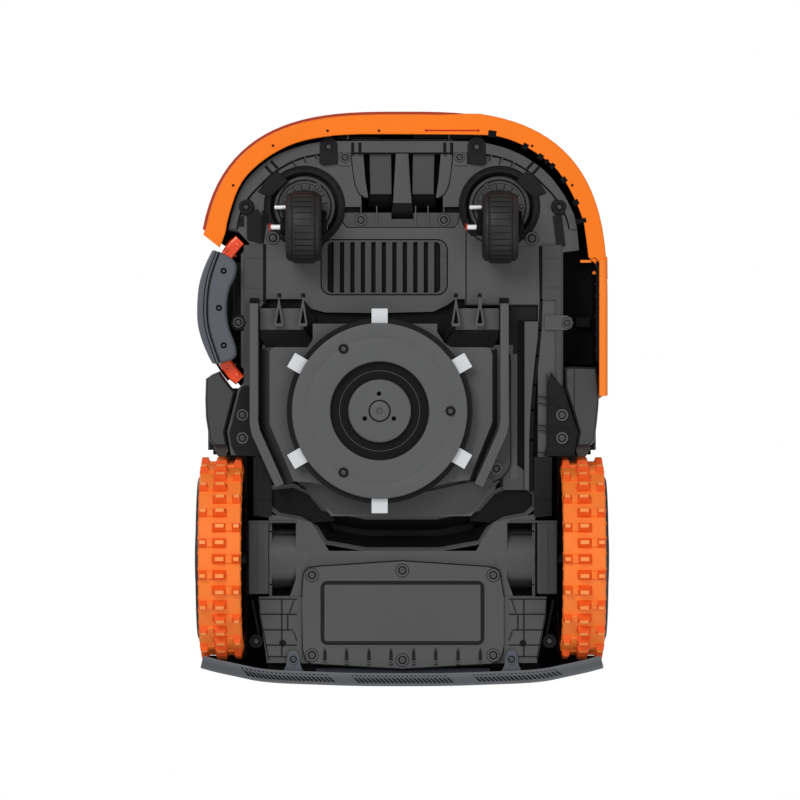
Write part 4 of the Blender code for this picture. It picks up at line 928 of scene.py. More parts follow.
# docking channels
dark.plate(offset(DOCK, -1.2), (100, 102), 0)
for sx in (-1, 1):
    def at(px, py, sx=sx):
        x = (px - 402) * 1.115
        return (x if sx < 0 else -x, (py - 398.7) * 1.115)
    low.add(skin_over([[(*at(369.6, 153), 84), (*at(391, 153), 84), (*at(391, 153), 88), (*at(369.6, 153), 88)],
                       [(*at(370.4, 192), 84.5), (*at(391.6, 192), 84.5), (*at(391.6, 192), 89), (*at(370.4, 192), 89)],
                       [(*at(369.6, 194), 85.2), (*at(391.6, 194), 85.2), (*at(391.6, 194), 92), (*at(369.6, 194), 92)]]), 0.5)
    dark.add(skin_over([[(*at(369.6, 193.6), 86), (*at(391.6, 193.6), 86), (*at(391.6, 193.6), 92), (*at(369.6, 193.6), 92)],
                        [(*at(368, 207), 97), (*at(392.6, 207), 97), (*at(392.6, 207), 101), (*at(368, 207), 101)]]), 0.3)
    cheek = [at(351.7, 154), at(352.4, 163), at(353.6, 174), at(355.6, 185), at(359.9, 193.6), at(364.5, 197.2), at(368.2, 197.4), at(365.4, 180), at(363.2, 154)]
    rib.plate(cheek, (79.0, 92), 0.7)
    seam_line([at(351.2, 154), at(352, 163), at(353.2, 174), at(355, 185.4), at(359.2, 194.4), at(364, 198), at(368.2, 198.2)], 1.0)
    dark.box((at(362, 0)[0], at(343, 0)[0]), (-213.9, -207.9), (86, 90), 0.2)
wedge = [((-6.9, -273.4), (7.1, -273.4), 79.4), ((-8.7, -241.6), (8.9, -241.6), 79.2), ((-10.1, -218.2), (10.9, -218.2), 79.6)]
rib.add(skin_over([[(*a, z), (a[0] + 2.2, a[1], z - 0.9), (b[0] - 2.2, b[1], z - 0.9), (*b, z), (*b, 96), (*a, 96)] for a, b, z in wedge]), 0.4)
for x in (-3.8, 0, 3.8):
    rib.box((x - 0.55, x + 0.55), (-268.4, -223.8), (77.8, 79.2), 0.25)
deep.add(skin_over([[(*(-10.1, -217.8), 80), (*(10.9, -217.8), 80), (*(10.9, -217.8), 96), (*(-10.1, -217.8), 96)],
                    [(*(-11.7, -209.3), 86), (*(12.6, -209.3), 86), (*(12.6, -209.3), 98), (*(-11.7, -209.3), 98)],
                    [(*(-11.7, -200.4), 93), (*(12.6, -200.4), 93), (*(12.6, -200.4), 99), (*(-11.7, -200.4), 99)]]), 0.4)
low.plate([(-64.7, -207.5), (-11.8, -207.5), (-11.8, -200.4), (12.7, -200.4), (12.7, -207.5), (64.7, -207.5), (62.7, -196.4), (57.3, -191), (-60.7, -191), (-65.9, -196.4)], (81.6, 88), 0.5)
for x in (-28.2, 15.2, 29):
    rib.box((x - 0.6, x + 0.6), (-214.9, -193.1), (79.8, 83), 0.25)
for x in (-60.2, 60.2):
    rib.box((x - 0.5, x + 0.5), (-207.1, -192.6), (80.8, 83), 0.25)
for x in (-45.7, 46.8):
    rib.box((x - 0.5, x + 0.5), (-222.7, -205.9), (79.6, 83), 0.25)
    screw((x, -199.3), 81.4, 6.4)

# vent
vent = Piece("vent_panel", "chassis", "charcoal_low", "charcoal_dark")
FIELD = rounded((-83, 42.6), (-174.5, -118.3), 5)
vent.frame(offset(VENT, 1.3), FIELD, (79.2, 82.2), 0.5)
for k in range(10):
    x = -72.8 + 11.7 * k
    vent.box((x - 3.5, x + 3.5), (-175.4, -117.4), (79.2, 81.6), 0.7)
for y in (-160.2, -133.5):
    vent.box((43.5, 47.5), (y - 2.2, y + 2.2), (78.4, 79.6), 0.3)
vent.done("vent_grille")
dark.plate(offset(VENT, 0.6), (84.5, 86), 0)
dark.frame(offset(VENT, -0.5), offset(VENT, 1.5), (82.4, 83.0))

# seams and panels of the floor
seam_line([(71.4, -214.3), (71.4, -105)], 1.2)
rib.plate(rounded((72.3, 150.1), (-169.1, -105.8), 1.5, 2), (79.3, FLOOR_Z + 0.4), 0.5)
rib.plate([(72.3, -181.4), (109.3, -181.4), (109.3, -168.6), (72.3, -168.6)], (79.3, FLOOR_Z + 0.4), 0.5)
seam_line([(71.4, -104.1), (151.6, -104.1)], 1.3)
dark.box((-154.8, -151.6), (-172.5, -105.6), (79.2, 86), 0.1)
seam_line([(154.3, -169.1), (155.2, -110.1), (153.9, -76.6), (151.2, -47.6), (147.8, -15.3), (145.4, 12.6), (144.1, 46), (143.8, 102.9)], 3.6, FLOOR_Z - 0.3)

# side rails
rail = Piece("side_rails", "chassis", "charcoal_low", "charcoal")
flank = Piece("side_flanks", "chassis", "charcoal_dark", "charcoal_dark")
for sx, dx in ((-1, 0.0), (1, 1.6)):
    def at(px, py, sx=sx, dx=dx):
        x = (402 - px) * 1.115 * sx
        return (x + (dx if sx > 0 else 0), (py - 398.7) * 1.115)
    rail.plate([at(263.2, 245), at(243.8, 245), at(243.8, 386), at(249.8, 386), at(249.8, 300), at(263.2, 300)], (77.2, FLOOR_Z + 0.5), 0.6)
    flank.plate([at(249.8, 387), at(241.5, 387), at(239.7, 392), at(232, 424), at(229.5, 433), at(231.5, 446), at(236, 455), at(262, 456), at(253.5, 424), at(249.8, 405)], (77.0, FLOOR_Z + 0.5), 0.6)
    for y in (258, 288):
        rail.box((at(246, 0)[0], at(261, 0)[0]), ((y - 398.7) * 1.115 - 0.5, (y - 398.7) * 1.115 + 0.5), (76.6, 77.6), 0.2)
    for y in (415, 438):
        screw(at(242.6, y), 77.2, 6.6)
    flank.plate([at(253.5, 457), at(271.8, 457), at(271.8, 516), at(253.5, 516)], (77.6, FLOOR_Z + 0.5), 0.6)
    seam_line([at(253.6, 500), at(271.6, 500)], 0.9, 77.6)
    flank.box((at(255.2, 0)[0], at(256.6, 0)[0]), (66.1, 129.7), (76.8, 78), 0.3)
rail.done()
flank.done()

# ribbed triangle on the +X flank
tri = [(165.6, -29), (179.4, -10.8), (195.8, 38.2), (190.7, 63.9), (161.5, 63.9), (161.5, -7.5)]
deep.plate(tri, (76.6, 77.6), 0.3)
for pts in (tri[:4], [(161.5, -27.5), (161.5, 62.8)]):
    for a, b in zip(pts, pts[1:]):
        deep.bar(a, b, 1.3, (74.8, 77), 0.3)
for y, x1 in ((396, 556), (403, 562), (425, 572), (430, 574), (452, 574)):
    deep.bar(((537 - 402) * 1.115, (y - 398.7) * 1.115), ((x1 - 402) * 1.115, (y + 2.5 - 398.7) * 1.115), 1.1, (75.2, 77.4), 0.25)
for y in (405, 413, 421, 436, 444):
    deep.bar(((548 - 402) * 1.115, (y - 398.7) * 1.115), ((560 - 402) * 1.115, (y - 9 - 398.7) * 1.115), 0.9, (75.6, 77.4), 0.2)
for at in ((178.4, 18.2), (178.4, 43.8)):
    screw(at, 75.6, 6.8)

# arms that hold the guard and the strip
deep.plate(rounded((-187.3, -170.6), (-92.8, -76), 3), (78, FLOOR_Z + 0.4), 0.7)
deep.rod((*(-182.5, -84.9), 0), (76.8, FLOOR_Z), 8.6, steps=36, ease=0.8)
screw((-182.5, -84.9), 76.8, 6.0)
tongue = [(159, -92.8), (183.4, -92.8), (189, -90), (191.1, -84.6), (189, -79.1), (183.4, -76.4), (159, -76.4)]
rib.plate(tongue, (76.4, FLOOR_Z + 0.4), 0.8)
for y in (-90.9, -78.2):
    rib.box((160.6, 180.6), (y - 0.5, y + 0.5), (75.8, 76.8), 0.2)
screw((183.9, -84.4), 76.3, 5.6)
dark.box((195.1, 211.3), (-91.1, -80.5), (118, 128), 0.5)
deep.box((-188.4, -174.5), (-152.4, -92.2), (93.6, 97), 0.6)

# black-blue wall behind the strip, and the wall at the guard
shade = Piece("bay_walls", "chassis", "ink", "slate_dark")
shade.box((179.5, 214.6), (-165.8, -38.7), (132, 134), 0)
shade.box((-188.4, -176.2), (-149.1, -48.7), (104, 106), 0)
shade.done()

# the cutter bay: shelves, shroud, fins, bars
dark.plate([(-163.9, -113.4), (156.1, -113.4), (156.1, 106.3), (-163.9, 106.3)], (88, 90), 0, holes=[circle(*DISC_AT, 44, 48)])
shelf = Piece("bay_shelves", "chassis", "charcoal", "charcoal")
for sx, c in ((-1, 0.0), (1, 0.0)):
    def at(px, py, sx=sx):
        x = (px - 402) * 1.115
        return (x if sx < 0 else ((759 - px) - 402) * 1.115, (py - 398.7) * 1.115)
    shelf.plate([at(260, 308.5), at(303, 308.5), at(305.5, 312), at(303.5, 329.8), at(260, 329.8)], (70, 86), 0.7)
    deep.add(skin_over([[(*at(260, 329.8), 71), (*at(304, 329.8), 71), (*at(304, 329.8), 86), (*at(260, 329.8), 86)],
                        [(*at(261, 338), 76.5), (*at(311, 338), 76.5), (*at(311, 338), 86), (*at(261, 338), 86)],
                        [(*at(266, 347.4), 78.5), (*at(314, 347.4), 78.5), (*at(314, 347.4), 86), (*at(266, 347.4), 86)]]), 0.3)
    deep.add(skin_over([[(*at(303.5, 309), 72), (*at(303.5, 309), 86), (*at(303, 330), 86), (*at(303, 330), 71)],
                        [(*at(309, 313), 78), (*at(309, 313), 86), (*at(309, 333), 86), (*at(309, 333), 77)],
                        [(*at(316, 316), 84), (*at(316, 316), 86), (*at(316, 347), 86), (*at(316, 347), 83)]]), 0.2)
    for px in (279.3, 303.2):
        tip, lo, hi = at(px, 296.5), at(px - 4.4, 324), at(px + 4.4, 324)
        a, b = at(px - 3.6, 326.6), at(px + 3.6, 326.6)
        hole = [at(px, 307.5), at(px - 2.6, 323.6), at(px + 2.6, 323.6)]
        ring = [tip, lo, a, b, hi] if sx < 0 else [tip, lo, a, b, hi]
        shelf.plate(ring, (60.5, 72), 0.0, holes=[hole])
        dark.plate([at(px, 306), at(px - 3.2, 324.6), at(px + 3.2, 324.6)], (67, 70.6), 0)
        dark.box((at(px - 1.9, 0)[0], at(px + 1.9, 0)[0]), (-117.3, -112.8), (78.8, 80.2), 0.2)
shelf.done()

SHROUD = [(-147.2, -51), (-145.5, -55.4), (-141.6, -57.1), (-104.8, -57.1), (-99.2, -65.5), (-99.2, -83.3), (39, -83.3), (39, -74.4), (46.8, -62.1), (54.6, -57.1), (93.1, -57.1), (98.1, -55),
          (100.3, -49.8), (100.3, 26), (74.7, 90.1), (53.5, 92.9), (-24.5, 112.9), (-100.3, 92.9), (-120.4, 91.8), (-147.2, 28.2)]
bay = Piece("shroud_floor", "chassis", "shroud", "shroud")
bay.plate(SHROUD, (62.0, 64.4), 0.9, holes=[circle(*DISC_AT, 42, 48)])
bay.plate(offset(SHROUD, 0.3), (64.2, 82), 0, holes=[offset(SHROUD, 3)])
bay.plate([(-156.1, -59.9), (-156.1, 7), (-144.9, 46), (-124.9, 79.5), (-110.4, 92.9), (-97, 102.9), (-79.2, 130.8), (76.9, 130.8), (94.8, 107.4), (109.3, 88.4), (121.5, 51.6), (123.8, -59.9)], (79, 82), 0,
          holes=[circle(*DISC_AT, 44, 48)])
bay.done("cutter_shroud")
side = Piece("bay_sides", "chassis", "charcoal_low", "charcoal_dark")
for sx in (-1, 1):
    def at(px, py, sx=sx):
        x = (px - 402) * 1.115
        return (x if sx < 0 else ((759 - px) - 402) * 1.115, (py - 398.7) * 1.115)
    side.add(skin_over([[(*at(270, 352), 63), (*at(270, 424), 63), (*at(294.5, 481), 63)],
                        [(*at(266.5, 350), 69), (*at(266.5, 425), 69), (*at(291.5, 483), 69)],
                        [(*at(262.5, 349), 77), (*at(262.5, 426), 77), (*at(288, 485), 77)],
                        [(*at(259, 349), 86), (*at(259, 427), 86), (*at(285, 487), 86)]], closed=False))
side.done()
bars = Piece("guard_bars", "chassis", "shroud", "shroud")
for sx in (-1, 1):
    def at(px, py, sx=sx):
        x = (px - 402) * 1.115
        return (x if sx < 0 else ((758.6 - px) - 402) * 1.115, (py - 398.7) * 1.115)
    run = [at(250.3, 303.8), at(258.8, 303.8), at(258.8, 421), at(260.6, 430), at(284.5, 483.5), at(275.9, 487), at(252.2, 434), at(250.3, 424)]
    bars.plate(run, (50, 79), 1.3)
    dark.box((at(250, 0)[0], at(259.4, 0)[0]), (-112.3, -106.3), (76.6, 80.2), 0.3)
bars.done()
deep.plate([(109.3, -98.9), (128.7, -98.9), (128.7, 90.6), (109.3, 97.3)], (80.4, 86), 0.4)
rib.plate([(121.5, -49.8), (128.4, -49.8), (128.4, 88.4), (121.5, 90.6)], (79.8, 84), 0.5)
corner = [(120.2, -49.8), (121.1, -36.5), (121.1, 70.6), (118.2, 79.5), (111.5, 87.9), (102.6, 92.4), (93.7, 94), (84.7, 95.1), (91.4, 79.5), (119.3, 21.5)]
low.plate(corner, (76.5, 86), 0.7)
seam_line(corner[:9], 1.1, 76.6)
boss.rod((*(105, 77.7), 0), (74.6, 78), 7.8, steps=36, ease=0.6)
screw((105, 77.7), 74.8, 6.2)
rib.plate([(136.5, -86.1), (151.6, -86.1), (151.2, -67.7), (148.7, -47.6), (145.4, -15.3), (143.2, 12.6), (141.8, 46), (141.6, 101.8), (136.5, 101.8)], (76.2, 86), 0.6)
deep.box((120.4, 150.5), (-103.4, -87.1), (83, 86), 0.3)
dark.box((128.9, 136), (-87.8, 102.9), (84, 88), 0)
low.plate([(112.6, 62.8), (136, 79.5), (136, 101.8), (112.6, 101.8)], (80, 84), 0.4)
for a, b in (((79.2, 90), (94.8, 97.6)), ((-113.7, 97.9), (-107, 100.7))):
    dark.bar(a, b, 2.2, (78.8, 80.4), 0.3)

# apron behind the disc, rolling into the trough; its deeper rings and the trough's roof are black, painted shade darker
# into the trough
apron = Piece("trough_lip", "chassis", "charcoal", "charcoal", smooth=60)
depth = [(0.0, 80.0), (0.6, 80.3), (2.0, 81.6), (4.5, 85), (7.5, 90.5), (10.5, 97), (13, 103), (15, 107.6), (17.5, 110)]
rings = [[(x, y, z) for x, y in offset(smooth_line(TROUGH + TROUGH[:1], 1)[:-1], d - 0.5)] for d, z in depth]
apron.add(skin_over(rings[:4], closed=True, caps=False))
apron.done()
# painted shade: the deeper part of the same slope is black
well = Piece("trough_walls_painted_shade", "chassis", "black", "charcoal_dark", smooth=60)
well.add(skin_over(rings[3:], closed=True, caps=False))
well.done()
dark.plate([(-153.9, 95.1), (-80.3, 95.1), (-75.8, 136.4), (-101.5, 138.6), (-153.9, 128.6)], (86, 88), 0)
dark.plate([(80.3, 95.1), (153.9, 95.1), (153.9, 128.6), (101.5, 138.6), (75.8, 136.4)], (86, 88), 0)
roof = Piece("trough_roof_painted_shade", "chassis", "black", "charcoal_dark")
roof.plate(offset(TROUGH, -1), (109.4, 111), 0)
roof.done()
edge = Piece("apron_edge", "chassis", "cover_grey", "charcoal")
edge.add(skin_over([[(*(-118.2, 91.8), 80.2), (*(-95.9, 88.4), 72), (*(0, 109.6), 70), (*(95.9, 88.4), 72), (*(109.3, 91.8), 80.2)],
                    [(*(-107, 101.8), 80.2), (*(-87, 104), 74), (*(0, 118.5), 72.5), (*(80.3, 104), 74), (*(100.3, 101.8), 80.2)],
                    [(*(-93.7, 116.3), 80.2), (*(-78, 121.9), 76.5), (*(0, 128), 76), (*(75.8, 121.9), 76.5), (*(91.4, 116.3), 80.2)],
                    [(*(-84.7, 126.3), 80.2), (*(-75.8, 129.1), 79.2), (*(0, 132.5), 79.4), (*(73.6, 129.1), 79.2), (*(82.5, 126.3), 80.2)]], closed=False))
edge.done()

# drive bays
for sx, word in ((-1, "right"), (1, "left")):
    def at(px, py, sx=sx):
        x = (402 - px) * 1.115 * sx
        return (x + (1.8 if sx > 0 else 0), (py - 398.7) * 1.115)
    clamp = Piece(word + "_clamp_block", "chassis", "charcoal_low", "charcoal")
    clamp.box((at(248.4, 0)[0], at(268.7, 0)[0]), (137.5, 217.8), (78, 149), 2.2)
    clamp.box((at(248.4, 0)[0], at(296.5, 0)[0]), (135.9, 138.4), (77.2, 92), 0.5)
    clamp.box((at(257.4, 0)[0], at(258.6, 0)[0]), (141.9, 213.3), (77.2, 78.6), 0.3)
    for y in (149.7, 205.5):
        clamp.box((at(251, 0)[0], at(256, 0)[0]), (y - 3, y + 3), (77.5, 78.4), 0.3)
    clamp.done(word + "_motor_clamp")
    sleeve = Piece(word + "_motor_sleeve", "chassis", "charcoal", "charcoal_dark", smooth=50)
    sleeve.rod((0, AXLE_Y, AXLE_Z), (102.5, 148.6), 34.4, "X" if sx > 0 else "-X", 96, 1.0)
    sleeve.done()
    for y in (531.6, 584.6):
        dark.box((at(269, 0)[0], at(295.4, 0)[0]), ((y - 398.7) * 1.115 - 1.0, (y - 398.7) * 1.115 + 1.0), (84, 88), 0.2)
    dark.plate([at(266, 520), at(299, 520), at(299, 599), at(266, 599)], (112, 114), 0)
    web = Piece(word + "_rear_web", "chassis", "charcoal", "charcoal")
    web.plate([at(302, 597), at(258.6, 596.6), at(259.3, 614), at(268.7, 663), at(302, 663)], (78.4, FLOOR_Z + 0.4), 0.6)
    for y, x0 in ((599, 259), (614.2, 259.6), (629.8, 262.4), (645, 265.4), (656.6, 267.6)):
        deep.box((at(x0, 0)[0], at(297 if y != 629.8 else 293, 0)[0]), ((y - 398.7) * 1.115 - 0.6, (y - 398.7) * 1.115 + 0.6), (77.4, 78.8), 0.25)
    deep.box((at(281.2, 0)[0], at(282.4, 0)[0]), (223.3, 288), (77.4, 78.8), 0.25)
    deep.box((at(287.2, 0)[0], at(288.4, 0)[0]), (240.1, 257.9), (77.4, 78.8), 0.25)
    for a, b in (((294, 600), (289.5, 613)), ((293.5, 631), (297, 641)), ((259.2, 598), (260.2, 614)), ((260.2, 614), (269, 660))):
        deep.bar(at(*a), at(*b), 1.0, (77.4, 78.8), 0.25)
    web.done()
    dark.rod((*at(282.7, 643.2), 0), (76.9, 78.6), 3.6, steps=28, ease=0.2)
    seat = at(256, 641.3)
    deep.rod((*seat, 0), (86, 96), 8.4, steps=36, ease=0.8)
    deep.hoop(seat, (4.6, 7.6), (85.2, 87), 36, 0.5)
    screw(seat, 86, 5.4, deep)
    deep.bar(at(252, 600), at(260, 641), 3, (90, 100), 0.6)
dress(["left_gear_motor", "right_gear_motor"], "motor", 0.4)

# battery hatch
HATCH = [(-109.7, 196.6), (-107.7, 191.9), (-103.9, 188.8), (-91.4, 187.2), (0, 181.2), (92.5, 187.4), (103.7, 189), (108.6, 192.1), (111.8, 212.2), (113.4, 221.1), (113.4, 274.6), (110.4, 286.9), (107.9, 292.5), (98.1, 295.1), (0, 300.7), (-100.3, 295.1),
         (-107, 291.9), (-110.4, 279.1), (-111.5, 224.4)]
hatch = Piece("hatch_cover", "chassis", "charcoal", "charcoal")
hatch.plate(HATCH, (73.6, 79.6), 0.9)
PANEL = rounded((-92, 93.1), (201.6, 275.7), 9)
hatch.frame(offset(PANEL, -1.6), offset(PANEL, 1.2), (72.9, 74), 0.4)
INNER = rounded((-92 + 5.6, 93.1 - 5.6), (201.6 + 5.6, 275.7 - 5.6), 2.4)
hatch.plate(INNER, (72.7, 74), 0.7)
hatch.done("battery_hatch")
# painted shade: dark bands round the panel and the hatch stand in for the shade in their grooves
groove = Piece("hatch_groove_painted_shade", "chassis", "charcoal_dark", "charcoal_dark")
groove.frame(offset(PANEL, 1.2), offset(PANEL, 5.6), (73.45, 74))
groove.frame(offset(HATCH, -1.3), offset(HATCH, 1.5), (79.65, 80.3))
groove.done()
fins = Piece("hatch_fins", "chassis", "charcoal_dark", "charcoal_dark")
light = Piece("hatch_fin_edges", "chassis", "charcoal", "charcoal")
for px in (325, 346.7, 369, 391, 413.7, 435.7, 458, 480.3):
    x = (px - 402) * 1.115
    fins.plate([(x, 277.4), (x + 1.7, 282.4), (x + 2.0, 296.9), (x - 2.0, 296.9), (x - 1.7, 282.4)], (72.6, 74), 0.3)
    light.hoop((x, 293.6), (1.0, 2.3), (71.8, 73), 20, 0.25)
fins.done()
light.done()
for at in ((-100.3, 196.6), (0.4, 191.3), (101.7, 196.6), (-100.3, 285.8), (0.4, 291.1), (101.7, 285.8)):
    screw(at, 73.4, 7.0)

# slate tabs and the strip between hatch and rear cover
tail = Piece("tail_tabs", "chassis", "slate", "slate")
for side in (-1, 1):
    cx = (-121.1, 289.9)[0] if side < 0 else (122.1, 290.5)[0]
    y0 = 280.2
    tab = [(cx - 17.5, 305.4), (cx - 11, 303.1), (cx - 8, 296.9), (cx - 6.6, 286.9), (cx - 4, y0 + 1.2), (cx, y0), (cx + 4, y0 + 1.2), (cx + 6.6, 286.9), (cx + 8, 296.9), (cx + 11, 303.1), (cx + 17.5, 305.4)]
    tail.plate(tab, (73.5, 78), 0.7)
    screw((cx, 290.2), 73.5, 6.0, tail)
tail.done()
strip = Piece("tail_strip", "chassis", "slate_dark", "slate_dark")
strip.add(skin_over([[(*(-95.9, 300.3), 82), (*(98.1, 300.3), 82), (*(98.1, 300.3), 90), (*(-95.9, 300.3), 90)],
                     [(*(-95.9, 307.6), 76), (*(98.1, 307.6), 76), (*(98.1, 307.6), 90), (*(-95.9, 307.6), 90)]]), 0.5)
strip.done()
dark.box((-149.4, -95.9), (295.8, 305.8), (90, 94), 0)
dark.box((98.1, 153.9), (295.8, 305.8), (90, 94), 0)
for piece in (low, dark, rib, deep, boss, head):
    piece.done()
dress(["chassis_lid", "battery_pack", "main_board"], "charcoal_dark", 0.5)
dress(["battery_pack"], "battery", 0.6)
dress(["main_board"], "board", 0.2)

# ---------------------------------------------------------------- casters
for sx, word in ((-1, "right"), (1, "left")):
    cx, cy = sx * CASTER_X, CASTER_Y
    fork_body, wheel_body = word + "_caster", word + "_caster_wheel"
    wheel_y = cy + CASTER_TRAIL
    z = 40.5
    fork = Piece(word + "_fork_body", fork_body, "charcoal_low", "charcoal_dark")
    fork.turn([(0, 84.6), (25.6, 84.6), (26.4, 83.8), (28.4, 83.8), (29.2, 85.4), (30.0, 85.4), (30.6, 84.2), (32.4, 84.2), (33.4, 84.8), (34, 85.6), (34, 90.4), (0, 90.4)], (cx, cy, 0), "Z", 72)
    fork.hoop((cx, cy), (17, 18.2), (83.9, 85), 56, 0.3)
    for k in range(16):
        a = math.radians(11.25 + 22.5 * k)
        fork.bar((cx + 17 * math.cos(a), cy + 17 * math.sin(a)), (cx + 27 * math.cos(a), cy + 27 * math.sin(a)), 1.1, (83.7, 85), 0.2)
    lines = Piece(word + "_fork_lines", fork_body, "black", "charcoal_dark")
    lines.hoop((cx, cy), (28.5, 30.2), (84.6, 85.6), 64, 0)
    lines.hoop((cx, cy), (18.2, 19.0), (84.2, 84.8), 56, 0)
    for k in range(16):
        a = math.radians(14.5 + 22.5 * k)
        lines.bar((cx + 18.5 * math.cos(a), cy + 18.5 * math.sin(a)), (cx + 25.4 * math.cos(a), cy + 25.4 * math.sin(a)), 0.6, (84.3, 84.8), 0)
    lines.done()
    fork.rod((cx, cy, 0), (90, 138), 12, steps=40, ease=1)
    fork.box((cx - 20.6, cx + 20.6), (cy - 4.5, cy + 3.2), (76, 85), 0.7)
    fork.done(word + "_caster_fork")
    # black fork legs; their black is also painted shadow for the dark zone round the caster wheel
    legs = Piece(word + "_caster_legs_painted_shadow", fork_body, "black", "charcoal_dark")
    for s in (-1, 1):
        x0, x1 = cx + s * 20.8, cx + s * 24.4
        side = [(cy + 5.5, 86), (cy + 5.5, 78), (wheel_y - 12, 50), (wheel_y - 9, 36), (wheel_y - 4, 31.4), (wheel_y + 4, 31.4), (wheel_y + 9, 36),
                (wheel_y + 9, 46), (cy + 15, 62), (cy + 14, 78), (cy + 13, 86)]
        bm = skin_over([[(min(x0, x1), y, zz) for y, zz in side], [(max(x0, x1), y, zz) for y, zz in side]])
        legs.add(bm, 0.9)
        legs.turn([(3.2, min(s * 24.4, s * 26.2)), (7.4, min(s * 24.4, s * 26.2)), (7.4, max(s * 24.4, s * 26.2)), (3.2, max(s * 24.4, s * 26.2))], (cx, wheel_y, z), "X", 40, ring=True)
    legs.done()
    pins = Piece(word + "_caster_pins", fork_body, "steel", "steel", smooth=50)
    for y, lo, hi, zz in ((-213.3, -33.6, 19.0, 78.4),):
        pins.rod((cx, y, zz), (lo, 19), 2.4, "X", 32, 0.5)
    pins.rod((cx, wheel_y, z), (-38.3, 26.3), 2.8, "X", 36, 0.6)
    for lo in (-37.6,):
        pins.turn([(2.7, lo + 2.2), (3.1, lo + 2.4), (3.1, lo + 3.4), (2.7, lo + 3.6)], (cx, wheel_y, z), "X", 36, ring=True)
    pins.done(word + "_caster_axle")
    washer = Piece(word + "_caster_seal", fork_body, "red_line", "charcoal_dark", smooth=50)
    washer.turn([(2.9, -38.4), (4.0, -38.3), (4.4, -37.8), (4.4, -36.8), (2.9, -36.6)], (cx, wheel_y, z), "X", 40, ring=True)
    washer.done()
    bolts = Piece(word + "_fork_screws", fork_body, "screw", "steel", smooth=50)
    for at in ((-94.8, -235.4),) if sx < 0 else ((95.9, -235.4), (132.7, -214.2)):
        bolts.hoop(at, (3.2, 4.9), (82.6, 84.4), 32, 0.4)
        bolts.rod((*at, 0), (83.0, 84.4), 1.7, steps=6, ease=0.3)
    bolts.done()
    tyre = Piece(word + "_caster_tread", wheel_body, "rubber", "rubber", smooth=40)
    r = CASTER_R
    half_profile = [(29.5, -19.2), (31.5, -19.9), (33.4, -19.7), (35.6, -18.4), (37.2, -16.6), (38.0, -14.6), (37.9, -13.8), (37.2, -13.5), (37.4, -12.9), (r - 1.5, -12.4), (r - 0.6, -11.2), (r - 0.1, -7), (r, 0)]
    profile = half_profile + [(q, -u) for q, u in half_profile[-2::-1]]
    tyre.turn(profile, (cx, wheel_y, z), "X", 96, ring=True)
    tyre = tyre.done(word + "_caster_tyre")
    tools = []
    for k in range(34):
        a = 2 * math.pi * k / 34
        bm = prism([(-13.6, -0.6), (13.6, -0.6), (13.6, 0.6), (-13.6, 0.6)], (r - 1.3, r + 2))
        turn = Matrix.Translation((cx * MM, wheel_y * MM, z * MM)) @ Matrix.Rotation(a, 4, "X")
        bmesh.ops.transform(bm, matrix=turn, verts=bm.verts)
        tools.append(bm)
    cut(tyre, *tools)
    hub = Piece(word + "_caster_hub", wheel_body, "charcoal_dark", "rubber", smooth=50)
    hub.turn([(3.6, -20.6), (9, -20.6), (10.5, -19), (12, -15), (28, -15), (30.7, -17.5), (30.7, 17.5), (28, 15), (12, 15), (10.5, 19), (9, 20.6), (3.6, 20.6)], (cx, wheel_y, z), "X", 72, ring=True)
    for k in range(6):
        a = math.pi / 3 * k
        bm = prism([(-1.3, 9), (1.3, 9), (1.3, 30), (-1.3, 30)], (-18, 18))
        m = Matrix.Translation((cx * MM, wheel_y * MM, z * MM)) @ Matrix.Rotation(a, 4, "X") @ Matrix.Rotation(math.radians(90), 4, "Y")
        bmesh.ops.transform(bm, matrix=m, verts=bm.verts)
        hub.add(bm, 0.4)
    hub.done()

# ---------------------------------------------------------------- drive wheels
ROWS = 38


def block(points_low, points_high):
    """A tapered lug from two rings of four points."""
    return skin_over([points_low, points_high])


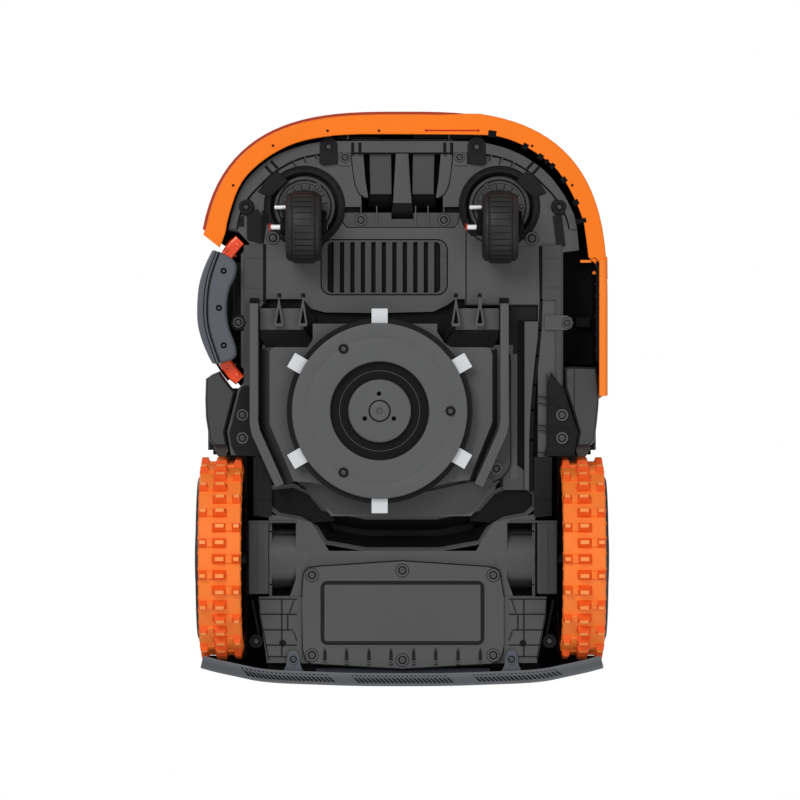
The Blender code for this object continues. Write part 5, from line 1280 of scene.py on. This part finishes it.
for sx, word in ((-1, "right"), (1, "left")):
    body = word + "_drive_wheel"
    tyre = Piece(word + "_tyre_body", body, "orange_tread", "orange_tread", smooth=30)
    core = 106.0
    profile = [(93.0, 178.5), (98, 177.7), (103.6, 177.9), (105.4, 178.9), (core, 180.6), (core, 222.2), (105.4, 224.0), (103.6, 225.0), (98, 225.2), (93.0, 224.4)]
    tyre.turn(profile, (0, AXLE_Y, AXLE_Z), "X" if sx > 0 else "-X", 152, ring=True)
    # painted shade on the lug bodies, whose flanks read darker, and painted highlight on thin lighter caps laid on
    # their tops
    lugs = Piece(word + "_tyre_lugs_painted_shade", body, "orange_lug_painted_shade", "orange_tread")
    caps = Piece(word + "_tyre_lug_tops_painted_highlight", body, "orange_cap_painted_highlight", "orange_tread")

    def lug(row_angle, span_low, span_high, r_low, r_high, arc_low, arc_high, piece=lugs, sx=sx, top=True):
        rings = []
        # the lighter cap on the lug's top is painted highlight
        if top:
            lug(row_angle, (span_high[0] + 0.35, span_high[1] - 0.35), (span_high[0] + 0.5, span_high[1] - 0.5), r_high - 0.5, r_high + 0.001, arc_high - 0.8, arc_high - 1.0, caps, sx, False)
            r_high -= 0.12
        for span, r, arc in ((span_low, r_low, arc_low), (span_high, r_high, arc_high)):
            ring = []
            for u, v in ((0, -1), (1, -1), (1, 1), (0, 1)):
                a = row_angle + v * arc / 2 / r
                x = sx * span[u]
                ring.append((x, AXLE_Y - r * math.sin(a), AXLE_Z - r * math.cos(a)))
            rings.append(ring)
        piece.add(skin_over(rings), 0.4 if top else 0.15, 1)

    for k in range(ROWS):
        a = 2 * math.pi * k / ROWS + math.radians(1.1)
        inner_type = k % 2 == 0
        lug(a, (193.4, 209.7), (196.2, 206.3), 105.6, WHEEL_R, 11.4, 5.0)
        if inner_type:
            lug(a, (177.9, 188.5), (179.6, 186.2), 105.2, WHEEL_R - 0.3, 11.0, 4.8)
            lug(a, (187.0, 195.0), (187.6, 194.4), 105.6, 108.7, 9.6, 8.0, tyre, sx, False)
        else:
            lug(a, (214.6, 225.0), (216.4, 223.6), 105.2, WHEEL_R - 0.3, 11.0, 4.8)
            lug(a, (208.4, 216.2), (208.8, 215.6), 105.6, 108.7, 9.6, 8.0, tyre, sx, False)
    tyre.done(word + "_tyre")
    lugs.done()
    caps.done()
    wall = Piece(word + "_tyre_ribs", body, "orange_tread", "orange_tread")
    for x in (177.85, 225.05):
        for k in range(ROWS):
            a = 2 * math.pi * (k + 0.5) / ROWS
            pts = []
            for r, w in ((96.5, 0.8), (103.6, 1.2)):
                for v in (-1, 1):
                    pts.append((r, v * w))
            ring = [(sx * x, AXLE_Y - r * math.sin(a) + v * math.cos(a), AXLE_Z - r * math.cos(a) - v * math.sin(a)) for r, v in (pts[0], pts[1], pts[3], pts[2])]
            bm = skin_over([[(px - 0.5, py, pz) for px, py, pz in ring], [(px + 0.5, py, pz) for px, py, pz in ring]])
            wall.add(bm)
    wall.done()
    rim = Piece(word + "_rim_body", body, "rim", "charcoal_dark", smooth=40)
    rim.turn([(84, 190), (86.4, 178.4), (91.4, 178.2), (91.7, 178.8), (91.7, 225.2), (90.8, 227.4), (88.6, 228.4), (86.5, 227.6), (84, 222), (82, 206)], (0, AXLE_Y, AXLE_Z), "X" if sx > 0 else "-X", 120, ring=True)
    rim.turn([(28, 223.5), (33, 223.5), (36, 222), (40, 212), (76, 206), (83, 206), (85, 190), (60, 194), (36, 198), (28, 200)], (0, AXLE_Y, AXLE_Z), "X" if sx > 0 else "-X", 120, ring=True)
    rim.rod((0, AXLE_Y, AXLE_Z), (172.6, 206), 8, "X" if sx > 0 else "-X", 40, 0.6)
    rim.rod((0, AXLE_Y, AXLE_Z), (192, 206), 30, "X" if sx > 0 else "-X", 60, 1)
    rim.done(word + "_rim")
    spokes = Piece(word + "_rim_spokes", body, "rim", "charcoal_dark")
    for k in range(9):
        a = 2 * math.pi * k / 9
        sections = []
        for r, w, x0, x1 in ((30, 8.5, 206, 228.0), (50, 6.4, 204, 226.4), (68, 6.0, 202, 226.2), (84, 9.5, 200, 227.4)):
            ring = []
            for v, x in ((-1, x0), (-0.82, x1), (0.82, x1), (1, x0)):
                ring.append((sx * x, AXLE_Y + r * math.sin(a) + v * w * math.cos(a), AXLE_Z + r * math.cos(a) - v * w * math.sin(a)))
            sections.append(ring)
        spokes.add(skin_over(sections), 1.3)
    spokes.done()
    cap = Piece(word + "_hubcap_body", body, "slate", "slate", smooth=50)
    cap.turn([(0, 228.6), (31, 228.6), (31, 229.6), (30.2, 230.9), (28.4, 231.3), (27.2, 230.9), (26.4, 230.2), (12.8, 230.6), (12.2, 231.2), (0, 231.4)], (0, AXLE_Y, AXLE_Z), "X" if sx > 0 else "-X", 80)
    for k in range(3):
        a = 2 * math.pi * k / 3 + 0.5
        cap.rod((0, AXLE_Y + 19.5 * math.sin(a), AXLE_Z + 19.5 * math.cos(a)), (229.6, 231.0), 3.2, "X" if sx > 0 else "-X", 28, 0.3)
    cap.rod((0, AXLE_Y, AXLE_Z), (205, 229), 26, "X" if sx > 0 else "-X", 48, 1)
    cap.done(word + "_hubcap")

# ---------------------------------------------------------------- cutting deck
dress(["deck_carrier"], "charcoal_dark", 0.8)
dress(["cutter_motor"], "motor", 0.6)
glide = Piece("glide_body", "cutting_disc", "glide", "glide", smooth=40)
glide.turn([(54.4, 37.4), (55.4, 36.2), (57.4, 35.9), (77.2, 35.9), (78.6, 36.9), (82.4, 36.9), (83.8, 35.9), (94.6, 35.9), (96.6, 36.4), (97.3, 37.4), (97.4, 40.2), (54.4, 40.2)], (*DISC_AT, 0), "Z", 168, ring=True)
glide = glide.done("glide_plate")
hubplate = Piece("hub_body", "cutting_disc", "glide", "charcoal_dark", smooth=40)
hubplate.turn([(12.4, 36.3), (14.6, 36.3), (15.4, 36.9), (32.4, 36.9), (33.8, 37.2), (34.8, 38.2), (34.9, 44.4), (12.4, 44.4)], (*DISC_AT, 0), "Z", 120, ring=True)
hubplate = hubplate.done("hub_cap")
holes = [(-25.5, -5.5), (-41.3, 22), (-9, 22)]
cut(hubplate, *[prism(circle(x, y, 2.6, 24), (34, 46)) for x, y in holes])
nave = Piece("hub_boss", "cutting_disc", "glide", "charcoal_dark", smooth=50)
nave.turn([(0, 38.2), (3.0, 38.2), (3.4, 36.6), (4.4, 36.0), (9.6, 36.0), (10.8, 36.6), (11.2, 38), (11.2, 44.4), (0, 44.4)], (*DISC_AT, 0), "Z", 64)
for k in range(8):
    a = math.radians(45 * k)
    nave.bar((DISC_AT[0] + 5 * math.cos(a), DISC_AT[1] + 5 * math.sin(a)), (DISC_AT[0] + 9 * math.cos(a), DISC_AT[1] + 9 * math.sin(a)), 0.7, (35.7, 36.4), 0.15)
nave.done()
disc = Piece("disc_body", "cutting_disc", "charcoal_dark", "charcoal_dark", smooth=40)
disc.turn([(11.3, 45.0), (100.4, 45.0), (101.6, 44.6), (102.6, 44.6), (103, 45.2), (103, 47.6), (102.2, 48.0), (34, 48.0), (30, 52), (30, 62), (11.3, 62)], (*DISC_AT, 0), "Z", 168, ring=True)
disc.done("blade_disc")
# painted shade: a black lining fills the groove between the hub and the glide plate
hub_groove_shade_ring = Piece("hub_groove", "cutting_disc", "black", "charcoal_dark")
hub_groove_shade_ring.turn([(35.2, 40.5), (35.6, 43.6), (40, 44.2), (50, 44.2), (53.6, 43.6), (54.2, 40.6), (54.3, 45.1), (35.2, 45.1)], (*DISC_AT, 0), "Z", 128, ring=True)
hub_groove_shade_ring.done()
mark = Piece("hub_groove_line", "cutting_disc", "shroud", "charcoal_dark")
mark.hoop(DISC_AT, (44.2, 44.8), (43.6, 44.4), 128, 0.15)
mark.done()
discscrew = Piece("disc_screws", "cutting_disc", "screw", "steel", smooth=50)
# the black wells round the disc's screws are painted shade
discwell = Piece("disc_screw_wells_painted_shade", "cutting_disc", "black", "charcoal_dark")
discring = Piece("disc_screw_rings", "cutting_disc", "charcoal_dark", "glide")
for at in ((-64.7, -55.1), (53.7, 13.7), (-64.7, 81.7)):
    screw(at, 36.0, 5.6, discring, discwell, discscrew)
discscrew.done()
discwell.done()
discring.done()

for k in range(6):
    angle = (-90, -30, 30, 90, 150, 210)[k]
    a = math.radians(angle)
    ca, sa = math.cos(a), math.sin(a)
    place = Matrix.Translation((DISC_AT[0] * MM, DISC_AT[1] * MM, 0)) @ Matrix.Rotation(a, 4, "Z")
    body = "cutter_%d" % (k + 1)
    sheet_part = Piece("cutter_%d_edge" % (k + 1), body, "blade", "steel", smooth=50)
    sheet_part.add(prism([(79.2, -8.9), (113.0, -8.9), (113.4, -8.5), (113.4, 8.5), (113.0, 8.9), (79.2, 8.9), (78.6, 8.3), (78.6, -8.3)], (43.05, 43.95)), 0.1, 1, place=place)
    sheet_part.done("blade_%d" % (k + 1))
    pin = Piece("cutter_%d_screw" % (k + 1), body, "screw", "steel", smooth=50)
    x, y = DISC_AT[0] + PIVOT_R * ca, DISC_AT[1] + PIVOT_R * sa
    pin.turn([(0, 42.6), (1.0, 42.6), (1.2, 41.9), (4.4, 41.9), (5.0, 42.3), (5.0, 43.0), (2.9, 43.0), (2.9, 44.6), (0, 44.6)], (x, y, 0), "Z", 32)
    pin.done()

# ---------------------------------------------------------------- rear
HALF = [(0, 321.8), (-53.5, 321.5), (-100.3, 319.8), (-139.4, 318.4), (-162.8, 315.9), (-178.4, 312.5), (-194, 309.2), (-209.6, 305.8), (-225.2, 301.4)]
LINE = [(-x, y) for x, y in HALF[:0:-1]] + HALF
LINE = smooth_line(LINE, 1)
PROFILE = [(14.4, 64.4), (11.5, 65.4), (8.0, 69.0), (4.6, 74.4), (2.2, 80.5), (0.9, 86.5), (0.4, 92), (0.4, 136), (1.2, 141.5), (3.2, 146), (6.2, 149), (9.5, 149.8), (10.8, 149.2), (10.8, 147.4),
           (6.6, 145.4), (3.3, 137), (3.3, 91), (6.2, 79.5), (15.8, 67.2), (16.3, 65.4)]
sections = []
for i, p in enumerate(LINE):
    a, b = Vector(LINE[max(0, i - 1)]), Vector(LINE[min(len(LINE) - 1, i + 1)])
    t = (b - a).normalized()
    n = Vector((-t.y, t.x))
    if n.y > 0:
        n = -n
    sections.append([(p[0] + n.x * d, p[1] + n.y * d, z) for d, z in PROFILE])
cover = Piece("rear_cover_body", "chassis", "slate_rear", "slate", smooth=50)
cover.add(skin_over(sections))
cover = cover.done("rear_cover")
dents = Piece("rear_cover_ribs", "chassis", "ink", "slate_dark")
for x0, x1 in ((-180.6, -74), (-58, 58), (76.9, 180.6)):
    x = x0 + 2.4
    while x < x1 - 8:
        sections = []
        for f in (0.0, 0.25, 0.5, 0.75, 1.0):
            px = x + 8.4 * f
            edge_y = at_fraction(LINE, [(px + 225.2) / 450.4])[0][1]
            py = edge_y - 13.6 + 8.6 * f
            zc = 65.0 + 7.4 * f ** 1.4
            sections.append([(px - 1.2, py, zc + 1.6), (px - 1.1, py, zc - 0.5), (px + 1.1, py, zc - 0.5), (px + 1.2, py, zc + 1.6)])
        dents.add(skin_over(sections))
        x += 4.7
dents.done()
under = Piece("rear_cover_floor", "chassis", "ink", "slate_dark")
under.plate([(-224.6, 289.6), (224.6, 289.6), (224.6, 296)] + [(x * 0.99, y - 9) for x, y in LINE] + [(-224.6, 296)], (147.6, 149.4), 0)
for sx in (-1, 1):
    under.box((sx * 150.5, sx * 175), (222, 292), (148, 149.4), 0.2)
    under.box((sx * 150.5, sx * 213), (-6, 63), (150.4, 151.6), 0.2)
    under.box((sx * 150.5, sx * 175), (60, 140), (150.4, 151.6), 0.2)
under.done()

def cover_side(sx):
    """Lower side cover between hood and wheel, with its foot and shoulder."""
    if sx > 0:
        outline = [(181, -35.3), (190, -36.2), (217.4, -35.3), (219.7, -12), (219.6, 6), (218, 24), (215.2, 46), (211.5, 51.5), (207, 53.5), (193.8, 53.5), (195.4, 45), (196.8, 37), (190, 14), (181.4, -12)]
        word = "left"
    else:
        outline = [(-185.2, -8), (-190.7, -13.5), (-197, -21.8), (-203.4, -31), (-212, -27.6), (-219, -22.5), (-219.7, 1.4), (-219, 20), (-215.2, 46), (-211.5, 51.5), (-207, 53.5), (-193.8, 53.5), (-195.4, 45), (-196.8, 37), (-191, 14)]
        word = "right"

    def ring(d, z):
        back = {-190.7: 6, -197: 6.4, -203.4: 6.4, -212: 5.6, -219: 4.5} if z > 98 else {}
        return [(x, y + back.get(p[0], 0), z) for p, (x, y) in zip(outline, offset(outline, d))]
    piece = Piece(word + "_side_shell", "chassis", "slate_dark", "slate_dark", smooth=50)
    piece.add(skin_over([ring(0.4, 159.6), ring(0.1, 140), ring(0.1, 99), ring(0.1, 97), ring(0.3, 80), ring(0.9, 75.5), ring(1.6, 73.4), ring(2.4, 72.6), ring(3.4, 72.4)][::-1]))
    shoulder = []
    inner_x = 168.5
    for f in (0.0, 0.25, 0.5, 0.75, 1.0):
        y = -34 + 92 * f if sx > 0 else -12 + 70 * f
        row = []
        for g in (0.0, 0.2, 0.4, 0.6, 0.8, 1.0):
            x = inner_x + (min(219.5, side_x(y) - 4) - inner_x) * g
            row.append((x, y))
        shoulder.append(row)
    rows = [[(sx * x, y, dome(x, y) - 2.2) for x, y in row] for row in shoulder]
    upper = sheet(rows if sx > 0 else rows, 2.6)
    piece.done(word + "_side_cover")
    settled(baked(upper), word + "_side_shoulder", "chassis", "slate_dark", smooth=50)
    bottom = Piece(word + "_side_floor", "chassis", "cover_grey", "slate_dark")
    bottom.plate(offset(outline, 2.6), (72.05, 74), 0.4)
    bottom.done()
    # painted shade: thin black bars along the side floor's joints stand in for the shade in them
    seam_piece = Piece(word + "_side_seams_painted_shade", "chassis", "black", "slate_dark")
    box = offset(outline, 2.4)
    for a, b in zip(box, box[1:] + box[:1]):
        seam_piece.bar(a, b, 0.5, (72.1, 72.7), 0)
    if sx > 0:
        seam_piece.bar((191.8, -34), (191.8, 16), 0.8, (71.95, 72.4), 0)
    seam_piece.done()
    foot = Piece(word + "_side_foot", "chassis", "foot_brown", "slate_dark")
    foot.plate([(sx * 195.2, 51.2), (sx * 207.5, 51.2), (sx * 210.5, 55), (sx * 205, 64.5), (sx * 196.5, 64.5), (sx * 193.5, 58)], (80, 84), 0.9)
    foot.done()


cover_side(1)
cover_side(-1)

# panel at the back: body, edges, fenders
body_half = [(0, -130), (45, -127), (72, -112), (80, -85), (85, -30), (92, 10), (110, 40), (148, 60), (149, 120), (148.6, 200), (148, 290), (140, 305), (70, 310), (0, 312)]
steps = []
full = body_half + [(-x, y) for x, y in body_half[-2:0:-1]]


def inside(x, y, ring):
    hit = False
    for (ax, ay), (bx, by) in zip(ring, ring[1:] + ring[:1]):
        if (ay > y) != (by > y) and x < (bx - ax) * (y - ay) / (by - ay) + ax:
            hit = not hit
    return hit


def rounded_loop(points, times):
    for _ in range(times):
        fresh = []
        for p, q in zip(points, points[1:] + points[:1]):
            fresh.append(tuple(u * 0.75 + v * 0.25 for u, v in zip(p, q)))
            fresh.append(tuple(u * 0.25 + v * 0.75 for u, v in zip(p, q)))
        points = fresh
    return points


plan = rounded_loop(full, 2)
rows = []
for f, drop in ((1, None), (1, 7), (0.999, 4), (0.995, 1.8), (0.988, 0.5), (0.975, 0)) + tuple((0.95 - 0.05 * k, 0) for k in range(19)):
    row = []
    for x, y in plan + plan[:1]:
        yc = min(280.0, max(-95.0, y))
        px, py = x * f, yc + (y - yc) * f
        row.append((px, py, 153.4 if drop is None else dome(abs(px), py) - drop))
    rows.append(row)
shell = baked(sheet(rows, WALL))
cut(shell, prism(rounded((-66.6, 66.6), (104.5, 240.5), 8), (200, 270)), prism(circle(*STOP_AT, 28.4, 64), (200, 270)), prism(circle(*KNOB_AT, 8, 32), (200, 270)))
settled(shell, "rear_shell", "chassis", "slate", ["rear_body"], smooth=45)
for sx, word in ((1, "left"), (-1, "right")):
    arch = Piece(word + "_arch", "chassis", "slate", "slate", smooth=45)
    sections = []
    for k in range(71):
        a = math.radians(20 + 2 * k)
        ring = []
        for x, r in ((149.2, 120.5), (204.5, 120.5), (205.4, 119.4), (206.6, 119.4), (207, 120.2), (207, 122.6), (206.2, 123.6), (205, 124), (152, 124), (149.2, 124)):
            ring.append((sx * x, AXLE_Y - r * math.cos(a), AXLE_Z + r * math.sin(a)))
        sections.append(ring)
    arch.add(skin_over(sections))
    inner_face = []
    for k in range(36):
        a = math.radians(20 + 4 * k)
        inner_face.append((AXLE_Y - 122 * math.cos(a), AXLE_Z + 122 * math.sin(a)))
    arch.add(skin_over([[(sx * 149.4, y, z) for y, z in inner_face], [(sx * 151.6, y, z) for y, z in inner_face]]))
    arch.done(word + "_fender")
dress(["control_panel"], "slate_dark", 0.5)
dress(["lid_hinge_pin"], "steel", 0.1)

# top: panel edges, knob, keys, display, stop button
bezel = Piece("panel_edge", "chassis", "charcoal_dark", "slate_dark")
for x0, x1, y0, y1 in ((-66, -58.4, 106, 239), (58.4, 66, 106, 239), (-58.4, 58.4, 105.4, 111.4), (-58.4, -29, 233.6, 239.6), (29, 58.4, 233.6, 239.6)):
    bezel.box((x0, x1), (y0, y1), (252.6, 253.6), 0.4)
bezel.done()
glass = Piece("display_glass", "chassis", "glass", "glass")
glass.box((-44.5, 44.5), (125.5, 174.5), (247.2, 248.3), 0.5)
glass.done()
frame_piece = Piece("display_frame", "chassis", "charcoal_dark", "slate_dark")
frame_piece.plate(rounded((-48, 48), (122, 178), 3), (246.2, 249.0), 0.5, holes=[rounded((-44.8, 44.8), (125.2, 174.8), 2)])
frame_piece.done()
dress(["display"], "charcoal_dark", 0.3)
for word, x in (("power", -32), ("start", 0), ("home", 32)):
    key = Piece("key_" + word + "_cap", word + "_key", "charcoal_low", "charcoal_dark", smooth=50)
    key.turn([(0, 243.6), (6.6, 243.6), (8, 244.4), (8, 248.4), (7.3, 249.3), (5.6, 249.5), (4.6, 249.1), (0, 248.9)], (x, 205, 0), "Z", 48)
    key.done("key_" + word)
    mark = Piece("key_" + word + "_mark", word + "_key", "shroud", "charcoal_dark")
    if word == "power":
        mark.hoop((x, 205), (1.9, 2.6), (248.9, 249.3), 32, 0)
        mark.box((x - 0.35, x + 0.35), (206, 208.6), (248.9, 249.35), 0)
    elif word == "start":
        mark.plate([(x - 1.5, 202.8), (x + 2.4, 205), (x - 1.5, 207.2)], (248.9, 249.3), 0.1)
    else:
        mark.plate([(x - 2.6, 204.8), (x, 207.4), (x + 2.6, 204.8), (x + 1.7, 204.8), (x + 1.7, 202.8), (x - 1.7, 202.8), (x - 1.7, 204.8)], (248.9, 249.3), 0.1)
    mark.done()
    well = Piece("key_" + word + "_ring", "chassis", "charcoal_dark", "slate_dark")
    well.hoop((x, 205), (9.2, 10.6), (245.8, 247.2), 48, 0.4)
    well.done()

knob = Piece("knob_body", "height_adjuster", "charcoal", "charcoal", smooth=40)
kx, ky = KNOB_AT
sections = []
for z, scale in ((240.6, 0.97), (242, 1.0), (248, 1.0), (249.8, 0.975), (250.7, 0.93), (251.0, 0.88)):
    ring = []
    for k in range(144):
        a = 2 * math.pi * k / 144
        r = (24.8 - 1.5 * (0.5 + 0.5 * math.cos(8 * a)) ** 3) * scale
        ring.append((kx + r * math.cos(a), ky + r * math.sin(a), z))
    sections.append(ring)
knob.add(skin_over(sections))
knob.rod((kx, ky, 0), (106, 241), 5.9, steps=36, ease=0.5)
knob.done("height_knob")
pointer = Piece("knob_pointer", "height_adjuster", "orange_gloss", "orange_hood")
pointer.bar((kx, ky + 8), (kx, ky + 21), 2.2, (250.7, 251.5), 0.3)
pointer.hoop((kx, ky), (6.0, 7.2), (250.7, 251.4), 40, 0.2)
pointer.done()
scale_marks = Piece("knob_scale", "chassis", "shroud", "slate")
for k in range(9):
    a = math.radians(-70 + 17.5 * k + 90)
    x0, y0 = kx + 28.5 * math.cos(a), ky + 28.5 * math.sin(a)
    x1, y1 = kx + (33.5 if k % 2 == 0 else 31.5) * math.cos(a), ky + (33.5 if k % 2 == 0 else 31.5) * math.sin(a)
    h = min(dome(abs(x0), y0), dome(abs(x1), y1))
    scale_marks.bar((x0, y0), (x1, y1), 0.9, (h - 1.0, h + 0.25), 0)
scale_marks.done()

stop = Piece("stop_body", "stop", "red", "red", smooth=50)
sx0, sy0 = STOP_AT
stop.turn([(0, 252.0), (24.4, 252.0), (26.4, 252.5), (27, 253.3), (26.8, 254.4), (25.6, 255.3), (22, 255.8), (12, 255.95), (0, 255.98)], (sx0, sy0, 0), "Z", 96)
stop.rod((sx0, sy0, 0), (227, 252.2), 17.8, steps=60, ease=0.4)
stop.done("stop_button")
stopmark = Piece("stop_mark", "stop", "shroud", "red")
for k in range(3):
    a0 = math.radians(90 + 120 * k)
    pts = [(sx0 + r * math.cos(a), sy0 + r * math.sin(a)) for r, sweep in ((16.5, range(0, 71, 7)), (14.3, range(70, -1, -7))) for a in [a0 + math.radians(s) for s in sweep]]
    stopmark.plate(pts, (255.3, 255.97), 0)
stopmark.done()
collar = Piece("stop_collar", "chassis", "charcoal_dark", "slate_dark", smooth=50)
h0 = dome(0, sy0)
collar.turn([(29.2, h0 - 2), (29.6, h0 + 0.6), (31, h0 + 1.6), (34, h0 + 1.4), (36, h0 + 0.1), (36, h0 - 2)], (sx0, sy0, 0), "Z", 96, ring=True)
collar.done()

lid = Piece("panel_lid_shell", "lid", "slate", "slate", smooth=50)
lid.plate(rounded((-57.4, 57.4), (112.8, 232.2), 6, 8), (250.4, 252.8), 0.7)
lid.plate(rounded((-47, 47), (123, 222), 5, 8), (252.5, 253.1), 0.4, holes=[rounded((-44, 44), (126, 219), 4, 8)])
lid.box((-14, 14), (113.6, 117.4), (252.3, 253.6), 0.5)
for x0, x1 in ((-20, -5), (5, 20)):
    lid.turn([(1.8, x0), (2.5, x0), (2.5, x1), (1.8, x1)], (0, 236, 251), "X", 36, ring=True)
    lid.box((x0, x1), (230.5, 234.0), (250.6, 252.6), 0.4)
lid.done("panel_lid")

# ---------------------------------------------------------------- surroundings
ground = plain(prism(circle(0, 0, 1900, 96), (-0.6, -0.1)))
ground_obj = bpy.data.objects.new("ground", ground)
bpy.context.scene.collection.objects.link(ground_obj)
stuff = bpy.data.materials.new("ground_shade")
stuff.use_nodes = True
nodes, links = stuff.node_tree.nodes, stuff.node_tree.links
nodes.clear()
out = nodes.new("ShaderNodeOutputMaterial")
mix = nodes.new("ShaderNodeMixShader")
clear = nodes.new("ShaderNodeBsdfTransparent")
paint = nodes.new("ShaderNodeBsdfDiffuse")
paint.inputs["Color"].default_value = (0.82, 0.82, 0.82, 1)
where = nodes.new("ShaderNodeTexCoord")
span = nodes.new("ShaderNodeVectorMath")
span.operation = "LENGTH"
fade = nodes.new("ShaderNodeMapRange")
fade.inputs["From Min"].default_value = 0.5
fade.inputs["From Max"].default_value = 1.7
fade.inputs["To Min"].default_value = 1.0
fade.inputs["To Max"].default_value = 0.0
face = nodes.new("ShaderNodeNewGeometry")
flip_side = nodes.new("ShaderNodeMath")
flip_side.operation = "SUBTRACT"
flip_side.inputs[0].default_value = 1.0
times = nodes.new("ShaderNodeMath")
times.operation = "MULTIPLY"
axis = nodes.new("ShaderNodeSeparateXYZ")
above = nodes.new("ShaderNodeMath")
above.operation = "GREATER_THAN"
above.inputs[1].default_value = 0.5
links.new(where.outputs["Object"], span.inputs[0])
links.new(span.outputs["Value"], fade.inputs["Value"])
links.new(face.outputs["Backfacing"], flip_side.inputs[1])
links.new(face.outputs["True Normal"], axis.inputs[0])
links.new(axis.outputs["Z"], above.inputs[0])
links.new(fade.outputs["Result"], times.inputs[0])
links.new(above.outputs["Value"], times.inputs[1])
links.new(times.outputs["Value"], mix.inputs["Fac"])
links.new(clear.outputs["BSDF"], mix.inputs[1])
links.new(paint.outputs["BSDF"], mix.inputs[2])
links.new(mix.outputs["Shader"], out.inputs["Surface"])
ground_obj.data.materials.append(stuff)
for name in ("visible_diffuse", "visible_glossy", "visible_shadow", "visible_transmission"):
    setattr(ground_obj, name, False)

world = bpy.data.worlds.new("studio")
bpy.context.scene.world = world
world.use_nodes = True
nodes, links = world.node_tree.nodes, world.node_tree.links
nodes.clear()
out = nodes.new("ShaderNodeOutputWorld")
seen = nodes.new("ShaderNodeLightPath")
white = nodes.new("ShaderNodeBackground")
white.inputs["Color"].default_value = (1, 1, 1, 1)
white.inputs["Strength"].default_value = 1.0
soft = nodes.new("ShaderNodeBackground")
soft.inputs["Color"].default_value = (0.94, 0.97, 1.0, 1)
soft.inputs["Strength"].default_value = 0.5
mix = nodes.new("ShaderNodeMixShader")
links.new(seen.outputs["Is Camera Ray"], mix.inputs["Fac"])
links.new(soft.outputs["Background"], mix.inputs[1])
links.new(white.outputs["Background"], mix.inputs[2])
links.new(mix.outputs["Shader"], out.inputs["Surface"])


def lamp(name, at, aim, size, watts, colour=(1, 1, 1)):
    data = bpy.data.lights.new(name, "AREA")
    data.shape = "DISK"
    data.size = size
    data.energy = watts
    data.color = colour
    obj = bpy.data.objects.new(name, data)
    bpy.context.scene.collection.objects.link(obj)
    obj.location = at
    obj.rotation_euler = (Vector(aim) - Vector(at)).to_track_quat("-Z", "Y").to_euler()
    return obj


lamp("key_below", (-1.1, -1.5, -2.6), (0, 0, 0.1), 1.5, 45)
lamp("fill_below", (1.6, 0.6, -2.8), (0, 0, 0.1), 2.4, 20)
lamp("rear_below", (0.2, 2.1, -1.6), (0, 0.1, 0.1), 1.2, 8)
lamp("key_above", (-1.6, -1.4, 2.6), (0, 0, 0.1), 1.4, 30)
lamp("fill_above", (2.0, 1.4, 2.0), (0, 0, 0.1), 2.2, 14)

lens = bpy.data.cameras.new("main")
lens.type = "PERSP"
lens.lens = 240
lens.sensor_width = 36
lens.clip_end = 100
camera = bpy.data.objects.new("main", lens)
bpy.context.scene.collection.objects.link(camera)
camera.location = (-0.00223, 0.00145, -5.867)
camera.rotation_euler = (math.pi, 0, 0)
bpy.context.scene.camera = camera
bpy.context.scene.view_settings.view_transform = "Standard"
